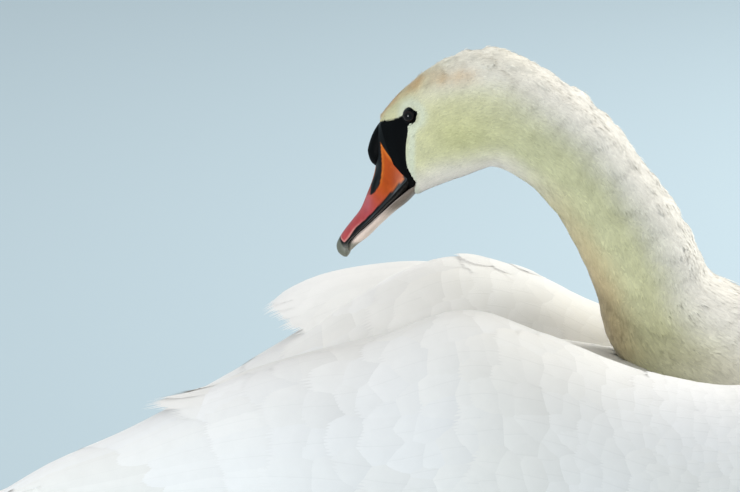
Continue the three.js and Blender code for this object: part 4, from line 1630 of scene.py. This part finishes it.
class SWAN_OT_stage(bpy.types.Operator):
    """Sets the floor, the soft lamps and the camera"""

    bl_idname = "swan.stage"
    bl_label = "Stage"

    def execute(self, context):
        scene, view = context.scene, context.scene.swan_stage
        pale = (*linear(view.backdrop), 1)
        corners = np.array([(-1, -1, 0), (1, -1, 0), (1, 1, 0), (-1, 1, 0)]) * FLOOR_REACH / MM
        floor = bpy.data.objects.new("floor", new_mesh("floor", corners, [np.array([[0, 1, 2, 3]])]))
        paper, _, shader = new_material("floor_paper", view.backdrop, Roughness=0.9)
        shader.inputs["Base Color"].default_value = pale
        floor.data.materials.append(paper)
        scene.collection.objects.link(floor)
        scene.world = bpy.data.worlds.new("studio")
        scene.world.use_nodes = True
        tree = scene.world.node_tree
        tree.nodes.clear()
        stage_colour(tree, tree.nodes.new("ShaderNodeOutputWorld").inputs["Surface"], pale, strength=0.6)
        add_lamp("key", (2.2, 1.2, 2.3), (-0.1, 0, 0.3), size=2.6, watts=106, colour=(1.0, 0.975, 0.935))
        add_lamp("fill", (-2.5, -2.0, 0.36), (-0.1, 0, 0.35), size=0.7, watts=42, colour=(0.95, 0.97, 1.0))
        camera = bpy.data.cameras.new("camera")
        camera.sensor_width = 36
        camera.lens = camera.sensor_width * view.distance / view.view_width
        made = bpy.data.objects.new("camera", camera)
        turn, height = view.azimuth, math.tan(view.elevation)
        back = Vector((math.sin(turn), -math.cos(turn), height)).normalized()
        made.location = Vector(LOOK_AT) + back * view.distance
        made.rotation_euler = back.to_track_quat("Z", "Y").to_euler()
        scene.collection.objects.link(made)
        scene.camera = made
        scene.view_settings.view_transform = "Standard"
        return {"FINISHED"}


# ------------------------------------------------------------------ add-on
STEPS = [
    "skin", "bill", "eyes", "neck_down", "body_feathers", "wing_feathers", "tail_feathers", "feet", "stage",
]


class SWAN_PT_model(bpy.types.Panel):
    """Settings and steps of the swan"""

    bl_idname = "SWAN_PT_model"
    bl_label = "Swan"
    bl_space_type = "VIEW_3D"
    bl_region_type = "UI"
    bl_category = "Swan"

    def draw(self, context):
        for settings in (context.scene.swan_plumage, context.scene.swan_bill, context.scene.swan_stage):
            box = self.layout.box()
            for name in settings.__annotations__:
                box.prop(settings, name)
        for step in STEPS:
            self.layout.operator(f"swan.{step}")


CLASSES = (
    PlumageSettings, BillSettings, StageSettings, SWAN_OT_skin, SWAN_OT_bill, SWAN_OT_eyes,
    SWAN_OT_neck_down, SWAN_OT_body_feathers, SWAN_OT_wing_feathers, SWAN_OT_tail_feathers,
    SWAN_OT_feet, SWAN_OT_stage, SWAN_PT_model,
)


def register():
    for cls in CLASSES:
        bpy.utils.register_class(cls)
    bpy.types.Scene.swan_plumage = bpy.props.PointerProperty(type=PlumageSettings)
    bpy.types.Scene.swan_bill = bpy.props.PointerProperty(type=BillSettings)
    bpy.types.Scene.swan_stage = bpy.props.PointerProperty(type=StageSettings)


def unregister():
    for name in ("swan_plumage", "swan_bill", "swan_stage"):
        delattr(bpy.types.Scene, name)
    for cls in reversed(CLASSES):
        bpy.utils.unregister_class(cls)


def main():
    register()
    for step in STEPS:
        getattr(bpy.ops.swan, step)()


if __name__ == "__main__":
    main()
